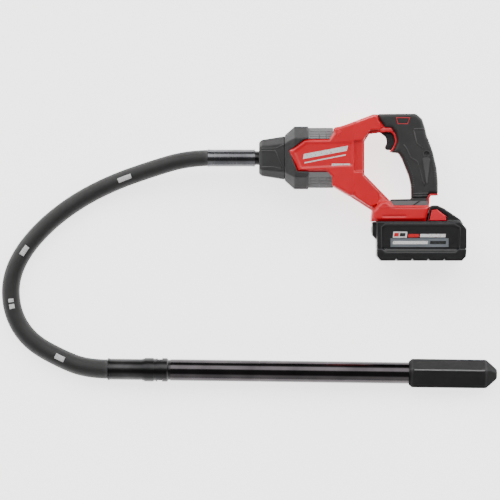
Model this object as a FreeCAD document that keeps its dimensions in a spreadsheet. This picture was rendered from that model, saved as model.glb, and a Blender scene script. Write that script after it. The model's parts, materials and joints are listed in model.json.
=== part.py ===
"""Cordless concrete vibrator: battery power unit, flexible shaft and vibrating head.

The tool lies on its side, so X runs from the nose to the battery's rear, Y from the battery's
base to the handle's top, and Z across the housing. All sizes are millimetres.
"""
import FreeCAD
import Part
import math
import os
import re
import Sketcher

Vector = FreeCAD.Vector

SIZES = {
    # power unit
    "half_width": 42.0,          # mid-plane above the resting side
    "shaft_line": 42.8,          # height of the motor axis
    "panel_half": "half_width - 1",          # half width of the red side panels
    "core_half": "half_width - 6",           # half width of the motor barrel
    "core_rise": "core_half + 2",           # barrel top above the motor axis
    "arm_half": 20.0,
    "rear_half": "half_width - 9",
    "strut_half": 21.0,
    "foot_half": "half_width - 5",
    "grip_half": 18.0,
    "guard_half": 14.0,
    "bevel": 5.0,
    "ramp_start": -12.0,         # where the side panel starts to slope down to the arm
    "ramp_end": 27.0,
    "strip_depth": 7.0,
    "collar_rise": "core_rise + 7.5",
    "collar_wall": 8.0,          # thickness of the bumper collar's front
    "insert_rise": "core_rise + 5.6",
    "nose_x": -149.7,
    "boot_end": -112.0,
    "collar_end": -77.8,
    "insert_length": 36.0,
    "motor_bore": "core_half - 3.5",
    "motor_front": -86.0,
    "motor_rear": -22.0,
    # motor and drive
    "stator_radius": "motor_bore - 0.5",
    "stator_length": 44.0,
    "rotor_radius": "stator_radius - 15",
    "air_gap": 0.5,
    "shaft_radius": 4.0,
    "front_bearing_radius": 13.0,
    "rear_bearing_radius": 11.0,
    "bearing_width": 8.0,
    "fan_radius": "motor_bore - 3.5",
    "fan_width": 9.0,
    "socket_radius": 8.0,
    "spindle_radius": 19.0,
    "flange_radius": "core_half - 2",
    "run_gap": 0.05,             # between a bearing and its shaft
    # handle
    "trigger_half": 7.0,
    "slide_gap": 0.4,
    "trigger_travel": 7.0,
    "spring_radius": 3.4,
    "spring_wire": 0.5,
    "lock_travel": 4.0,
    "screw_radius": 2.0,
    "screw_grip": 12.0,
    "screw_head_radius": 3.6,
    "screw_head_height": 2.6,
    "dimple_radius": 3.6,        # blind recess on the handle's left side
    "dimple_depth": 2.2,
    # foot and battery
    "foot_floor": -49.9,         # face that the battery slides along
    "bay_half": "foot_half - 7",
    "bay_depth": 12.0,
    "ledge_half": "foot_half - 13",
    "ledge_height": 5.0,
    "battery_front": 21.6,
    "battery_length": 130.4,
    "battery_drop": 57.4,
    "battery_half": "half_width",
    "battery_wall": 3.0,
    "tower_half": "battery_half - 7",
    "seam_drop": 40.0,
    "cell_radius": "(battery_length - 21.4) / 10 - 0.3",
    "cell_length": "2 * battery_half - 14",
    "latch_depth": 5.0,
    "latch_proud": 1.2,
    # flexible shaft and head
    "hose_radius": 12.7,
    "hose_bore": 7.5,
    "core_radius": 5.5,
    "ferrule_length": 68.8,
    "hose_end": -224.4,
    "head_x": -371.0,
    "head_y": -265.8,
    "head_line": 21.3,           # height of the head's axis above the floor
    "head_turn": -0.75,
    "head_ferrule_radius": "tube_radius + 0.4",
    "head_ferrule_length": 53.7,
    "coupling_radius": "tube_radius + 1.6",
    "coupling_length": 35.0,
    "tube_radius": 15.8,
    "tube_wall": 3.0,
    "rear_tube_length": 129.5,
    "front_tube_length": 218.9,
    "tip_side": "2 * tube_radius + 0.3",
    "tip_length": 129.7,
    "tip_turn": 76.0,
    "weight_radius": "tube_radius - tube_wall - 1.8",
    "weight_length": 120.0,
}

# Route of the flexible shaft: it leaves the ferrule level with the motor, comes down on the
# floor and rises again to the head's ferrule.
HOSE_ROUTE = [
    (-224.4, 42.8, 42.0),
    (-254.0, 42.2, 41.5),
    (-304.0, 28.0, 31.5),
    (-366.0, 6.5, 17.0),
    (-421.0, -22.5, 13.2),
    (-468.0, -60.0, 13.0),
    (-502.0, -103.0, 13.0),
    (-515.5, -145.0, 13.0),
    (-509.0, -190.0, 13.2),
    (-484.0, -226.0, 14.5),
    (-440.0, -250.5, 17.5),
    (-402.0, -265.2, 20.9),
    (-371.0, -265.8, 21.3),
]

doc = FreeCAD.newDocument("ConcreteVibrator")
sheet = doc.addObject("Spreadsheet::Sheet", "Sizes")
for row, (alias, size) in enumerate(SIZES.items(), start=1):
    sheet.set(f"A{row}", alias)
    sheet.setAlias(f"B{row}", alias)
for row, size in enumerate(SIZES.values(), start=1):
    sheet.set(f"B{row}", f"={size}")
doc.recompute()

ALIAS_WORDS = re.compile(r"\b(" + "|".join(SIZES) + r")\b")
nodes = {}


def bound(text):
    """Turn a formula of size names, or a plain number, into an expression on the sheet."""
    return ALIAS_WORDS.sub(r"Sizes.\1", str(text))


def value(text):
    """Evaluate a formula of size names in millimetres."""
    return float(sheet.evalExpression(bound(text)))


def set_place(thing, place):
    """Bind an object's position to three formulas."""
    for axis, text in zip("xyz", place):
        thing.setExpression(f".Placement.Base.{axis}", bound(text))


def new_body(name, place=(0, 0, 0), turn=None):
    """Start a body that is a sub-part with its own label and placement."""
    body = doc.addObject("PartDesign::Body", name)
    body.Label = name
    if turn is not None:
        body.Placement.Rotation = FreeCAD.Rotation(Vector(0, 0, 1), value(turn))
        body.setExpression(".Placement.Rotation.Angle", bound(turn))
        body.setExpression(".Placement.Rotation.Axis.z", "1")
    set_place(body, place)
    nodes[name] = body
    return body


def origin_part(body, role):
    """Find one of a body's own origin planes or axes."""
    return next(part for part in body.Origin.OriginFeatures if part.Role == role)


def corner_points(corners):
    """Evaluate each corner as (point, rounding radius)."""
    return [(Vector(value(c[0]), value(c[1]), 0), value(c[2]) if len(c) > 2 else 0.0) for c in corners]


def outline(body, tag, role, lift, corners):
    """Draw a closed outline: each corner is (x, y) or (x, y, rounding radius), all formulas."""
    sketch = body.newObject("Sketcher::SketchObject", f"{body.Name}_{tag}_outline")
    sketch.AttachmentSupport = [(origin_part(body, role), "")]
    sketch.MapMode = "FlatFace"
    sketch.setExpression(".AttachmentOffset.Base.z", bound(lift))
    points = corner_points(corners)
    count = len(points)
    ends = []
    for i, (point, radius) in enumerate(points):
        before = (points[i - 1][0] - point).normalize()
        after = (points[(i + 1) % count][0] - point).normalize()
        half = before.getAngle(after) / 2
        reach = radius / math.tan(half) if radius else 0.0
        ends.append((point + before * reach, point + after * reach, before, after, half))
    for i in range(count):
        sketch.addGeometry(Part.LineSegment(ends[i][1], ends[(i + 1) % count][0]), False)
    for i, (point, radius) in enumerate(points):
        line_in, line_out = (i - 1) % count, i
        if not radius:
            sketch.addConstraint(Sketcher.Constraint("Coincident", line_in, 2, line_out, 1))
            bind_point(sketch, line_out, 1, corners[i])
            continue
        arrive, leave, before, after, half = ends[i]
        centre = point + (before + after).normalize() * (radius / math.sin(half))
        middle = centre + (point - centre).normalize() * radius
        arc = sketch.addGeometry(Part.Arc(arrive, middle, leave), False)
        turns_left = before.cross(after).z < 0
        first, last = (1, 2) if turns_left else (2, 1)
        sketch.addConstraint(Sketcher.Constraint("Tangent", line_in, 2, arc, first))
        sketch.addConstraint(Sketcher.Constraint("Tangent", arc, last, line_out, 1))
        name = sketch.addConstraint(Sketcher.Constraint("Radius", arc, radius))
        sketch.setExpression(f"Constraints[{name}]", bound(corners[i][2]))
        apex = sketch.addGeometry(Part.Point(point), True)
        sketch.addConstraint(Sketcher.Constraint("PointOnObject", apex, 1, line_in))
        sketch.addConstraint(Sketcher.Constraint("PointOnObject", apex, 1, line_out))
        bind_point(sketch, apex, 1, corners[i])
    return sketch


def bind_point(sketch, geometry, end, corner):
    """Tie a point of a sketch to its two formulas."""
    for kind, text in (("DistanceX", corner[0]), ("DistanceY", corner[1])):
        constraint = Sketcher.Constraint(kind, -1, 1, geometry, end, value(text))
        index = sketch.addConstraint(constraint)
        sketch.setExpression(f"Constraints[{index}]", bound(text))


def feature(body, kind, tag, sketch, **settings):
    """Add a sketch-based feature and bind its sizes."""
    made = body.newObject(f"PartDesign::{kind}", f"{body.Name}_{tag}")
    made.Profile = sketch
    for key, setting in settings.items():
        if isinstance(setting, (str, float, int)) and key in ("Length", "Angle", "TaperAngle"):
            made.setExpression(key, bound(setting))
        else:
            setattr(made, key, setting)
    sketch.Visibility = False
    return made


def pad(body, tag, role, lift, corners, length, **settings):
    """Pad a closed outline away from its plane."""
    return feature(body, "Pad", tag, outline(body, tag, role, lift, corners), Length=length, **settings)


def cut(body, tag, role, lift, corners, length, **settings):
    """Pocket a closed outline and make sure that it removed material."""
    doc.recompute()
    before = body.Shape.Volume
    made = feature(body, "Pocket", tag, outline(body, tag, role, lift, corners), Length=length, **settings)
    doc.recompute()
    if not body.Shape.Volume < before - 0.01:
        raise RuntimeError(f"{made.Name} cuts nothing")
    return made


def turned(body, tag, corners, kind="Revolution"):
    """Revolve an outline of (along, radius) corners about the body's X axis."""
    doc.recompute()
    before = body.Shape.Volume if kind == "Groove" else None
    sketch = outline(body, tag, "XY_Plane", 0, corners)
    made = feature(body, kind, tag, sketch, ReferenceAxis=(origin_part(body, "X_Axis"), [""]), Angle=360)
    if before is not None:
        doc.recompute()
        if not body.Shape.Volume < before - 0.01:
            raise RuntimeError(f"{made.Name} cuts nothing")
    return made


def ring(body, tag, start, end, outer, inner=0):
    """Turn a plain cylinder or sleeve between two stations."""
    return turned(body, tag, [(start, inner), (end, inner), (end, outer), (start, outer)])


def around(body, original, count):
    """Repeat a feature evenly about the body's X axis."""
    pattern = body.newObject("PartDesign::PolarPattern", f"{original.Name}_ring")
    pattern.Originals = [original]
    pattern.Axis = (origin_part(body, "X_Axis"), [""])
    pattern.Angle = 360
    pattern.Occurrences = count
    body.Tip = pattern
    return pattern


def round_outline(body, tag, role, lift, centre, radius):
    """Draw a circle whose centre and radius are formulas."""
    sketch = body.newObject("Sketcher::SketchObject", f"{body.Name}_{tag}_outline")
    sketch.AttachmentSupport = [(origin_part(body, role), "")]
    sketch.MapMode = "FlatFace"
    sketch.setExpression(".AttachmentOffset.Base.z", bound(lift))
    middle = Vector(value(centre[0]), value(centre[1]), 0)
    circle = sketch.addGeometry(Part.Circle(middle, Vector(0, 0, 1), value(radius)), False)
    bind_point(sketch, circle, 3, centre)
    size = sketch.addConstraint(Sketcher.Constraint("Radius", circle, value(radius)))
    sketch.setExpression(f"Constraints[{size}]", bound(radius))
    return sketch


def cut_round(body, tag, role, lift, centre, radius, length, **settings):
    """Pocket a round hole and make sure that it removed material."""
    doc.recompute()
    before = body.Shape.Volume
    sketch = round_outline(body, tag, role, lift, centre, radius)
    made = feature(body, "Pocket", tag, sketch, Length=length, **settings)
    doc.recompute()
    if not body.Shape.Volume < before - 0.01:
        raise RuntimeError(f"{made.Name} cuts nothing")
    return made


def drill(body, tag, start, end, radius, height=0):
    """Bore a round hole along X between two stations."""
    return cut_round(body, tag, "YZ_Plane", start, (height, 0), radius, f"({end}) - ({start})",
                     Reversed=True)


def spread(body, tag, role, corners, half_length, lift=0):
    """Pad an outline evenly to both sides of its plane."""
    return pad(body, tag, role, lift, corners, f"2 * ({half_length})", SideType="Symmetric")


def spread_cut(body, tag, role, corners, half_length, lift=0):
    """Pocket an outline evenly to both sides of its plane."""
    return cut(body, tag, role, lift, corners, f"2 * ({half_length})", SideType="Symmetric")


def slab(body, tag, side, corners, reach, bevel=0, near=0):
    """Pad a side outline out from the mid-plane, with a bevel along its outer edge."""
    flat = f"({reach}) - ({near}) - ({bevel})"
    pad(body, tag, "XY_Plane", f"{side} * ({near})", corners, flat, Reversed=side < 0)
    if bevel:
        top = f"{side} * (({reach}) - ({bevel}))"
        pad(body, f"{tag}_edge", "XY_Plane", top, corners, bevel, Reversed=side < 0, TaperAngle=-45)


def hollow(body, tag, side, corners, reach, near=0):
    """Pocket a side outline from the mid-plane outwards."""
    length = f"({reach}) - ({near})"
    cut(body, tag, "XY_Plane", f"{side} * ({near})", corners, length, Reversed=side > 0)


def block(x_low, x_high, y_low, y_high):
    """Corners of a plain rectangle."""
    return [(x_low, y_low), (x_high, y_low), (x_high, y_high), (x_low, y_high)]


def octagon(half_y, half_z, corner, middle=0):
    """Corners of a chamfered rectangle in the plane across the motor axis."""
    low, high = f"{middle} - ({half_y})", f"{middle} + ({half_y})"
    return [
        (f"{low} + {corner}", f"-({half_z})"),
        (f"{high} - {corner}", f"-({half_z})"),
        (high, f"-({half_z}) + {corner}"),
        (high, f"{half_z} - {corner}"),
        (f"{high} - {corner}", half_z),
        (f"{low} + {corner}", half_z),
        (low, f"{half_z} - {corner}"),
        (low, f"-({half_z}) + {corner}"),
    ]


AXIS = ("0", "shaft_line", "half_width")
SIDE = ("0", "0", "half_width")
HANDS = ((1, "left"), (-1, "right"))   # the tool lies on its right side

# --- outlines of the power unit, seen from the side ---------------------------------------
PANEL = [
    (-105.7, "shaft_line + 9.9"),
    (-84.0, "shaft_line + 26.7"),
    (-48.2, "shaft_line + 26.7"),
    (-41.0, "shaft_line + 36.6"),
    (-40.4, "shaft_line + 43.9"),
    (-31.5, "shaft_line + 45.5"),
    (-8.0, "shaft_line + 53.4"),
    (-8.0, -8.0),
    (-16.8, -13.6),
    (-43.1, "shaft_line - 40.9"),
    (-43.8, "shaft_line - 29.2"),
    (-51.0, "shaft_line - 20.3"),
    (-94.0, "shaft_line - 20.3"),
]
REAR_BLOCK = [
    (-30.0, "shaft_line + 45.8"),
    (-5.0, "shaft_line + 54.5"),
    (3.65, "shaft_line + 50.0"),
    (3.65, 19.1),
    (-4.0, -3.0),
    (-30.0, -3.0),
]
ARM = [
    (-31.5, "shaft_line + 45.5"),
    (16.6, 106.3, 6),
    (23.8, 106.3),
    (25.6, 98.4),
    (33.9, 87.3),
    (43.4, 86.7),
    (46.4, 81.0),
    (13.3, 81.0, 9),
    (3.65, 66.0, 6),
    (3.65, 40.0),
    (-31.5, 40.0),
]
STRUT = [
    (-31.5, 40.0),
    (3.65, 40.0),
    (3.65, 19.1, 4),
    (40.9, -19.1),
    (40.9, -40.0),
    (16.0, -40.0),
    (14.9, -34.0),
    (-16.8, -13.6),
    (-43.1, "shaft_line - 40.9"),
    (-43.1, 20.0),
]
SHOULDER = [
    (-14.0, "shaft_line + 49.0"),
    (17.2, 103.6),
    (21.6, 103.6),
    (23.4, 97.6),
    (27.0, 92.6),
    (27.0, 83.6),
    (12.0, 83.6, 9),
    (1.2, 67.2, 6),
    (1.2, 17.4, 4),
    (24.6, -6.5),
    (24.6, -23.6),
    (12.0, -28.6),
    (-14.0, -11.9),
]
FOOT = [
    (13.4, "foot_floor"),
    (14.9, -34.0),
    (28.9, -19.1),
    (40.9, -19.1),
    (45.0, -26.6),
    (96.4, -26.6),
    (98.3, -28.5),
    (93.1, "foot_floor"),
]
LIP = [
    (95.5, -26.6),
    (95.5, -14.0),
    (99.6, -9.6),
    (111.3, -9.4),
    (111.3, -12.0),
    (100.6, -12.2),
    (98.9, -15.5),
    (98.3, -28.5),
    (96.4, -28.5),
]
GUARD = [
    (41.8, 84.0),
    (48.9, 79.5, 8),
    (52.0, 66.8, 10),
    (47.5, 56.0, 4),
    (43.4, 50.6),
    (41.0, 52.0),
    (45.4, 58.0, 4),
    (49.2, 66.8, 8),
    (46.2, 77.4, 6),
    (40.0, 81.2),
]
GRIP = [
    (23.8, 106.9),
    (79.1, 107.3, 6),
    (88.0, 99.6, 5),
    (92.4, 86.0, 8),
    (94.5, 76.0, 10),
    (103.7, 51.5, 20),
    (109.4, 26.9, 20),
    (111.0, 8.0, 10),
    (111.2, -9.4),
    (99.6, -9.6),
    (95.5, -14.0),
    (95.5, -17.0),
    (72.4, -17.0),
    (72.0, 2.0, 20),
    (69.0, 16.0, 30),
    (58.6, 42.0, 12),
    (53.6, 50.0, 4),
    (43.4, 50.6),
    (47.5, 56.0, 4),
    (52.0, 66.8, 10),
    (48.9, 79.5, 8),
    (43.4, 86.7),
    (33.9, 87.3),
    (25.6, 98.4),
]
GRIP_FLANGE = [
    (95.5, -17.0),
    (95.5, -19.7),
    (41.9, -19.7),
    (41.9, -17.6),
    (72.4, -17.0),
]
GRIP_HOLLOW = [
    (58.0, 54.5, 2),
    (88.0, 54.5),
    (101.0, 18.0, 4),
    (101.0, -4.0),
    (94.0, -10.0),
    (80.0, -14.0),
    (76.0, 12.0, 6),
    (64.0, 44.0, 4),
]
SWITCH_BAY = [
    (40.0, 53.4),
    (88.0, 53.4),
    (86.0, 84.0),
    (80.0, 89.0),
    (52.0, 89.0),
    (47.0, 83.0),
    (40.0, 81.2),
]
TRIGGER_FACE = [
    (26.4, 80.4),
    (35.4, 73.0, 5),
    (37.0, 65.0, 6),
    (33.6, 58.0, 2),
    (36.0, 54.4, 1.5),
    (42.6, 54.0),
    (62.0, 59.0),
    (62.0, 80.4),
]


def housing_half(name, side):
    """One red moulded shell: barrel, side panel, arm, strut and foot, hollowed for its insides."""
    body = new_body(name, SIDE)
    barrel = [
        ("shaft_line - core_rise", 0),
        ("shaft_line - core_rise", f"{side} * (core_half - 16)"),
        ("shaft_line - core_rise + 16", f"{side} * core_half"),
        ("shaft_line + core_rise - 16", f"{side} * core_half"),
        ("shaft_line + core_rise", f"{side} * (core_half - 16)"),
        ("shaft_line + core_rise", 0),
    ]
    pad(body, "barrel", "YZ_Plane", "boot_end + collar_wall", barrel, "-(boot_end + collar_wall)")
    slab(body, "panel", side, PANEL, "panel_half", 3)
    slab(body, "rear", side, REAR_BLOCK, "rear_half", "bevel")
    slab(body, "arm", side, ARM, "arm_half", "bevel")
    slab(body, "strut", side, STRUT, "strut_half", "bevel")
    slab(body, "shoulder", side, SHOULDER, "panel_half - 1.5", 2)
    # one sloping face leads from the side panel down to the arm and the strut
    ramp = [
        ("ramp_start", f"{side} * panel_half"),
        ("ramp_end", f"{side} * (strut_half + 0.6)"),
        ("2 * ramp_end", f"{side} * (strut_half + 0.6)"),
        ("2 * ramp_end", f"{side} * (panel_half + 5)"),
        ("ramp_start", f"{side} * (panel_half + 5)"),
    ]
    spread_cut(body, "ramp", "XZ_Plane", ramp, "3 * shaft_line")
    slab(body, "foot", side, FOOT, "foot_half", 4)
    slab(body, "lip", side, LIP, "grip_half - 1")
    slab(body, "guard", side, GUARD, "guard_half", near="trigger_half + 2")
    # a framed recess and a strip on the panel, and a long slot along the foot
    frame = [
        (-98.0, "shaft_line + 8.5"),
        (-80.0, "shaft_line + 21.5"),
        (-14.5, "shaft_line + 22.0"),
        (-14.5, "shaft_line - 12.0"),
        (-54.0, "shaft_line - 13.5"),
        (-88.5, "shaft_line - 15.5"),
    ]
    hollow(body, "frame", side, frame, "panel_half + 1", "panel_half - 1.0")
    strip = block("ramp_start", 4.0, 22.3, 67.6)
    hollow(body, "strip", side, strip, "panel_half + 1", "panel_half - strip_depth")
    slot = block(30.0, 64.0, -43.4, -41.4)
    hollow(body, "slot", side, slot, "foot_half + 1", "foot_half - 1.5")
    drill(body, "motor_bore", "boot_end + 3", "motor_rear", "motor_bore", "shaft_line")
    drill(body, "flange_seat", "boot_end + 3", "motor_front - 6", "flange_radius", "shaft_line")
    drill(body, "bearing_seat", "motor_rear - 1", "motor_rear + bearing_width", "rear_bearing_radius",
          "shaft_line")
    drill(body, "shaft_end_room", "motor_rear", "motor_rear + bearing_width + 5", "shaft_radius + 2",
          "shaft_line")
    # hand side of the housing: board bay, battery rails and wiring channel
    hollow(body, "board_bay", side, block(26.0, 90.0, "foot_floor + bay_depth + 2", -28.6), "bay_half")
    rails = block(18.0, 120.0, "foot_floor + ledge_height", "foot_floor + bay_depth")
    hollow(body, "rail_bay", side, rails, "bay_half + 2")
    mouth = block(18.0, 120.0, "foot_floor - 1", "foot_floor + ledge_height")
    hollow(body, "rail_mouth", side, mouth, "ledge_half")
    plug_hole = block(50.0, 74.0, "foot_floor + bay_depth - 1", "foot_floor + bay_depth + 3")
    hollow(body, "plug_hole", side, plug_hole, 14)
    channel = [(-9.0, 10.0), (-9.0, 2.0), (26.0, -31.0), (34.0, -31.0), (34.0, -24.0), (3.0, 10.0)]
    hollow(body, "channel", side, channel, 6)
    wire_bay = block(-10.0, -3.0, 6.0, 76.0)
    hollow(body, "wire_bay", side, wire_bay, 12)
    return body



def part_cut(name, base, tools):
    """Trim a sub-part by its neighbours, so that they meet face to face."""
    shape = base
    for number, tool in enumerate(tools):
        trimmed = doc.addObject("Part::Cut", f"{name}_trim_{number}")
        trimmed.Base = shape
        trimmed.Tool = tool
        shape = trimmed
    base.Label = f"{name}_blank"
    shape.Label = name
    nodes.pop(base.Name, None)
    nodes[name] = shape
    return shape


def rod(name, place, radius, height, direction="z"):
    """A plain Part cylinder along X, Y or Z, bound to the sheet."""
    made = doc.addObject("Part::Cylinder", name)
    made.setExpression("Radius", bound(radius))
    made.setExpression("Height", bound(height))
    if direction == "x":
        made.Placement.Rotation = FreeCAD.Rotation(Vector(0, 1, 0), 90)
    elif direction == "y":
        made.Placement.Rotation = FreeCAD.Rotation(Vector(1, 0, 0), -90)
    set_place(made, place)
    return made


def group(name, members):
    """Gather identical separate solids in one sub-part."""
    made = doc.addObject("Part::Compound", name)
    made.Label = name
    made.Links = members
    nodes[name] = made
    return made


# --- housing shells, handle and their trims ------------------------------------------------
SHELL_SCREWS = [
    (-16.0, "shaft_line + motor_bore + 5.5"),
    (-24.0, "shaft_line - motor_bore - 7.5"),
    (18.0, 93.0),
    (26.0, -9.5),
    (20.5, -29.5),
]
GRIP_SCREWS = [(94.6, 48.6), (84.5, 95.0), (105.8, 2.0)]


def screw_holes(body, side, spots):
    """Bore the screw holes of one half; the right half has counterbores for the heads."""
    for number, spot in enumerate(spots):
        cut_round(body, f"screw_{number}", "XY_Plane", 0, spot, "screw_radius", "screw_grip",
                  Reversed=side > 0)
        if side < 0:
            cut_round(body, f"screw_seat_{number}", "XY_Plane", "-(screw_grip - 0.1)", spot,
                      "screw_head_radius + 0.4", "half_width")


def grip_half(name, side):
    """One black overmoulded handle shell with its flange on the foot."""
    body = new_body(name, SIDE)
    slab(body, "grip", side, GRIP, "grip_half", 3)
    slab(body, "flange", side, GRIP_FLANGE, "grip_half + 4")
    hollow(body, "grip_room", side, GRIP_HOLLOW, "grip_half - 6")
    hollow(body, "switch_room", side, SWITCH_BAY, "trigger_half + 2")
    button = lock_corners("slide_gap")
    hollow(body, "lock_window", side, button, "grip_half + 1")
    if side > 0:
        cut_round(body, "dimple", "XY_Plane", "grip_half - dimple_depth", GRIP_SCREWS[0],
                  "dimple_radius", "dimple_depth + 1", Reversed=True)
    return body


def lock_corners(spare):
    """Corners of the trapezoid safety button, grown by a clearance."""
    return [
        (f"53.2 - ({spare})", f"92.9 - ({spare})"),
        (f"66.4 + ({spare})", f"92.9 - ({spare})"),
        (f"69.4 + ({spare})", f"100.8 + ({spare})"),
        (f"51.2 - ({spare})", f"100.8 + ({spare})"),
    ]


for side, hand in HANDS:
    shell = housing_half(f"housing_{hand}", side)
    screw_holes(shell, side, SHELL_SCREWS)
    grip = grip_half(f"grip_{hand}", side)
    screw_holes(grip, side, GRIP_SCREWS)
    part_cut(f"grip_{hand}", grip, [shell])

# --- nose: boot, bumper collar, grey vent inserts -------------------------------------------
boot = new_body("nose_boot", AXIS)
stations = [("nose_x", 22.6, 22.6, 7), ("nose_x + 4", 26.2, 26.2, 9), ("boot_end", 31.5, 31.5, 11)]
rings = [outline(boot, f"station_{n}", "YZ_Plane", x, octagon(y, z, corner))
         for n, (x, y, z, corner) in enumerate(stations)]
loft = boot.newObject("PartDesign::AdditiveLoft", "nose_boot_loft")
loft.Profile = rings[0]
loft.Sections = rings[1:]
loft.Ruled = True
drill(boot, "spindle_bore", "nose_x - 1", "boot_end + 1", "spindle_radius")

collar = new_body("bumper_collar", AXIS)
front = outline(collar, "front", "YZ_Plane", "boot_end", octagon(33.0, 33.0, 12))
full = outline(collar, "full", "YZ_Plane", "boot_end + 14", octagon("collar_rise", "half_width", 17))
loft = collar.newObject("PartDesign::AdditiveLoft", "bumper_collar_loft")
loft.Profile = front
loft.Sections = [full]
loft.Ruled = True
pad(collar, "band", "YZ_Plane", "boot_end + 14", octagon("collar_rise", "half_width", 17),
    "collar_end - boot_end - 14")
cut(collar, "barrel_room", "YZ_Plane", "boot_end + collar_wall", octagon("core_rise", "core_half", 16),
    "collar_end - boot_end", Reversed=True)
drill(collar, "flange_bore", "boot_end - 1", "boot_end + collar_wall + 1", "spindle_radius")
window = [(x, f"({y}) - shaft_line") for x, y in PANEL[:3] + PANEL[-2:]]
spread_cut(collar, "panel_window", "XY_Plane", window, "half_width + 2")

for place, sense in (("top", 1), ("bottom", -1)):
    insert = new_body(f"vent_insert_{place}", AXIS)
    outer = octagon("insert_rise", "core_half + 3", 16)
    pad(insert, "band", "YZ_Plane", "collar_end", outer, "insert_length")
    cut(insert, "barrel_room", "YZ_Plane", "collar_end - 1", octagon("core_rise", "core_half", 16),
        "insert_length + 2", Reversed=True)
    keep = 27.6 if sense > 0 else 21.0
    lower = block("collar_end - 1", "collar_end + insert_length + 1", f"{-sense} * (insert_rise + 1)",
                  f"{keep} * {sense}")
    spread_cut(insert, "side_gap", "XY_Plane", lower, "half_width")
    for number in range(3):
        x = f"collar_end + {11 + 7 * number}"
        slot = block(x, f"{x} + 3.5", f"{sense} * (insert_rise - 2.4)", f"{sense} * (insert_rise + 1)")
        spread_cut(insert, f"vent_{number}", "XY_Plane", slot, "core_half - 20")
    shells = [nodes["housing_right"], nodes["housing_left"]]
    part_cut(f"vent_insert_{place}", insert, shells)

# --- drive line in the power unit ------------------------------------------------------------
spindle = new_body("spindle_housing", AXIS)
turned(spindle, "case", [
    ("nose_x + 1", 10.5),
    ("boot_end + 8", 10.5),
    ("boot_end + 8", "front_bearing_radius"),
    ("boot_end + 16", "front_bearing_radius"),
    ("boot_end + 16", "flange_radius - 0.2"),
    ("boot_end + 8", "flange_radius - 0.2"),
    ("boot_end + 8", "spindle_radius"),
    ("nose_x + 1", "spindle_radius"),
])
retainer = new_body("shaft_retainer", AXIS)
turned(retainer, "ring", [
    ("nose_x - 4.9", 6.4), ("nose_x + 1", 6.4), ("nose_x + 1", 17.0), ("nose_x", 17.0),
    ("nose_x", 10.2), ("nose_x - 4.9", 10.2),
])
front_bearing = new_body("front_bearing", AXIS)
ring(front_bearing, "ring", "boot_end + 8", "boot_end + 8 + bearing_width", "front_bearing_radius",
     "shaft_radius + 2 + run_gap")
rear_bearing = new_body("rear_bearing", AXIS)
ring(rear_bearing, "ring", "motor_rear", "motor_rear + bearing_width", "rear_bearing_radius",
     "shaft_radius + run_gap")

stator = new_body("stator", AXIS)
ring(stator, "yoke", "motor_rear - 3 - stator_length", "motor_rear - 3", "stator_radius",
     "stator_radius - 6")
tooth = pad(stator, "tooth", "XZ_Plane", "rotor_radius + air_gap",
            block("motor_rear - 3 - stator_length", "motor_rear - 3", -3.5, 3.5),
            "stator_radius - rotor_radius - air_gap - 3")
around(stator, tooth, 6)
rotor = new_body("rotor", AXIS)
ring(rotor, "core", "motor_rear - 5 - stator_length", "motor_rear - 4", "rotor_radius", "shaft_radius")
shaft = new_body("motor_shaft", AXIS)
turned(shaft, "shaft", [
    ("boot_end - 4", 0),
    ("motor_rear + bearing_width + 2", 0),
    ("motor_rear + bearing_width + 2", "shaft_radius"),
    ("boot_end + 18", "shaft_radius"),
    ("boot_end + 18", "shaft_radius + 2"),
    ("boot_end - 4", "shaft_radius + 2"),
])
fan = new_body("cooling_fan", AXIS)
ring(fan, "hub", "motor_front", "motor_front + fan_width", 10, "shaft_radius")
ring(fan, "disc", "motor_front", "motor_front + 1.5", "fan_radius", 9)
blade = pad(fan, "blade", "XZ_Plane", "9", block("motor_front + 1", "motor_front + fan_width", -0.8, 0.8),
            "fan_radius - 9")
around(fan, blade, 9)
socket = new_body("drive_socket", AXIS)
ring(socket, "cup", "boot_end - 22", "boot_end - 4", "socket_radius", "core_radius - 0.9")

# --- controls ----------------------------------------------------------------------------------
trigger = new_body("trigger", SIDE)
spread(trigger, "lever", "XY_Plane", TRIGGER_FACE, "trigger_half")
spring_start = 62.0
switch_face = "62 + trigger_travel + 6"
spring = doc.addObject("Part::Feature", "trigger_spring")
coil = Part.makeHelix(2.4, value(switch_face) - spring_start - 1.6, value("spring_radius"))
start = Vector(value("spring_radius"), 0, 0)
wire_ring = Part.Wire(Part.makeCircle(value("spring_wire"), start, Vector(0, 1, 0)))
spring.Shape = Part.Wire(coil).makePipeShell([wire_ring], True, True)
spring.Placement = FreeCAD.Placement(
    Vector(spring_start + 0.8, 70.0, value("half_width")), FreeCAD.Rotation(Vector(0, 1, 0), 90))
spring.Label = "trigger_spring"
nodes["trigger_spring"] = spring
switch = new_body("switch_module", SIDE)
spread(switch, "case", "XY_Plane", [
    (switch_face, 56.0), (85.0, 56.0), (84.0, 83.0), (82.0, 86.0), (switch_face, 86.0),
], "trigger_half + 1")
lock = new_body("lock_button", SIDE)
pad(lock, "bar", "XY_Plane", "-(grip_half) - lock_travel + 0.2", lock_corners(0),
    "2 * grip_half + lock_travel")

# --- foot: grey insert, board, terminals ----------------------------------------------------
insert = new_body("foot_insert", SIDE)
cap = [(40.9, -19.7), (95.5, -19.7), (95.5, -26.6), (45.0, -26.6), (40.9, -19.9)]
spread(insert, "cap", "XY_Plane", cap, "foot_half - 5")
part_cut("foot_insert", insert, [nodes["housing_right"], nodes["housing_left"]])
board = new_body("controller_board", SIDE)
spread(board, "board", "XY_Plane", block(44.0, 88.0, -33.0, -31.4), "bay_half - 2")
spread(board, "heat_sink", "XY_Plane", block(50.0, 82.0, -31.4, -29.2), "bay_half - 12")
terminals = new_body("terminal_block", SIDE)
spread(terminals, "block", "XY_Plane", block(51.0, 73.0, "foot_floor + bay_depth + 0.2", -33.0), 13)

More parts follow.
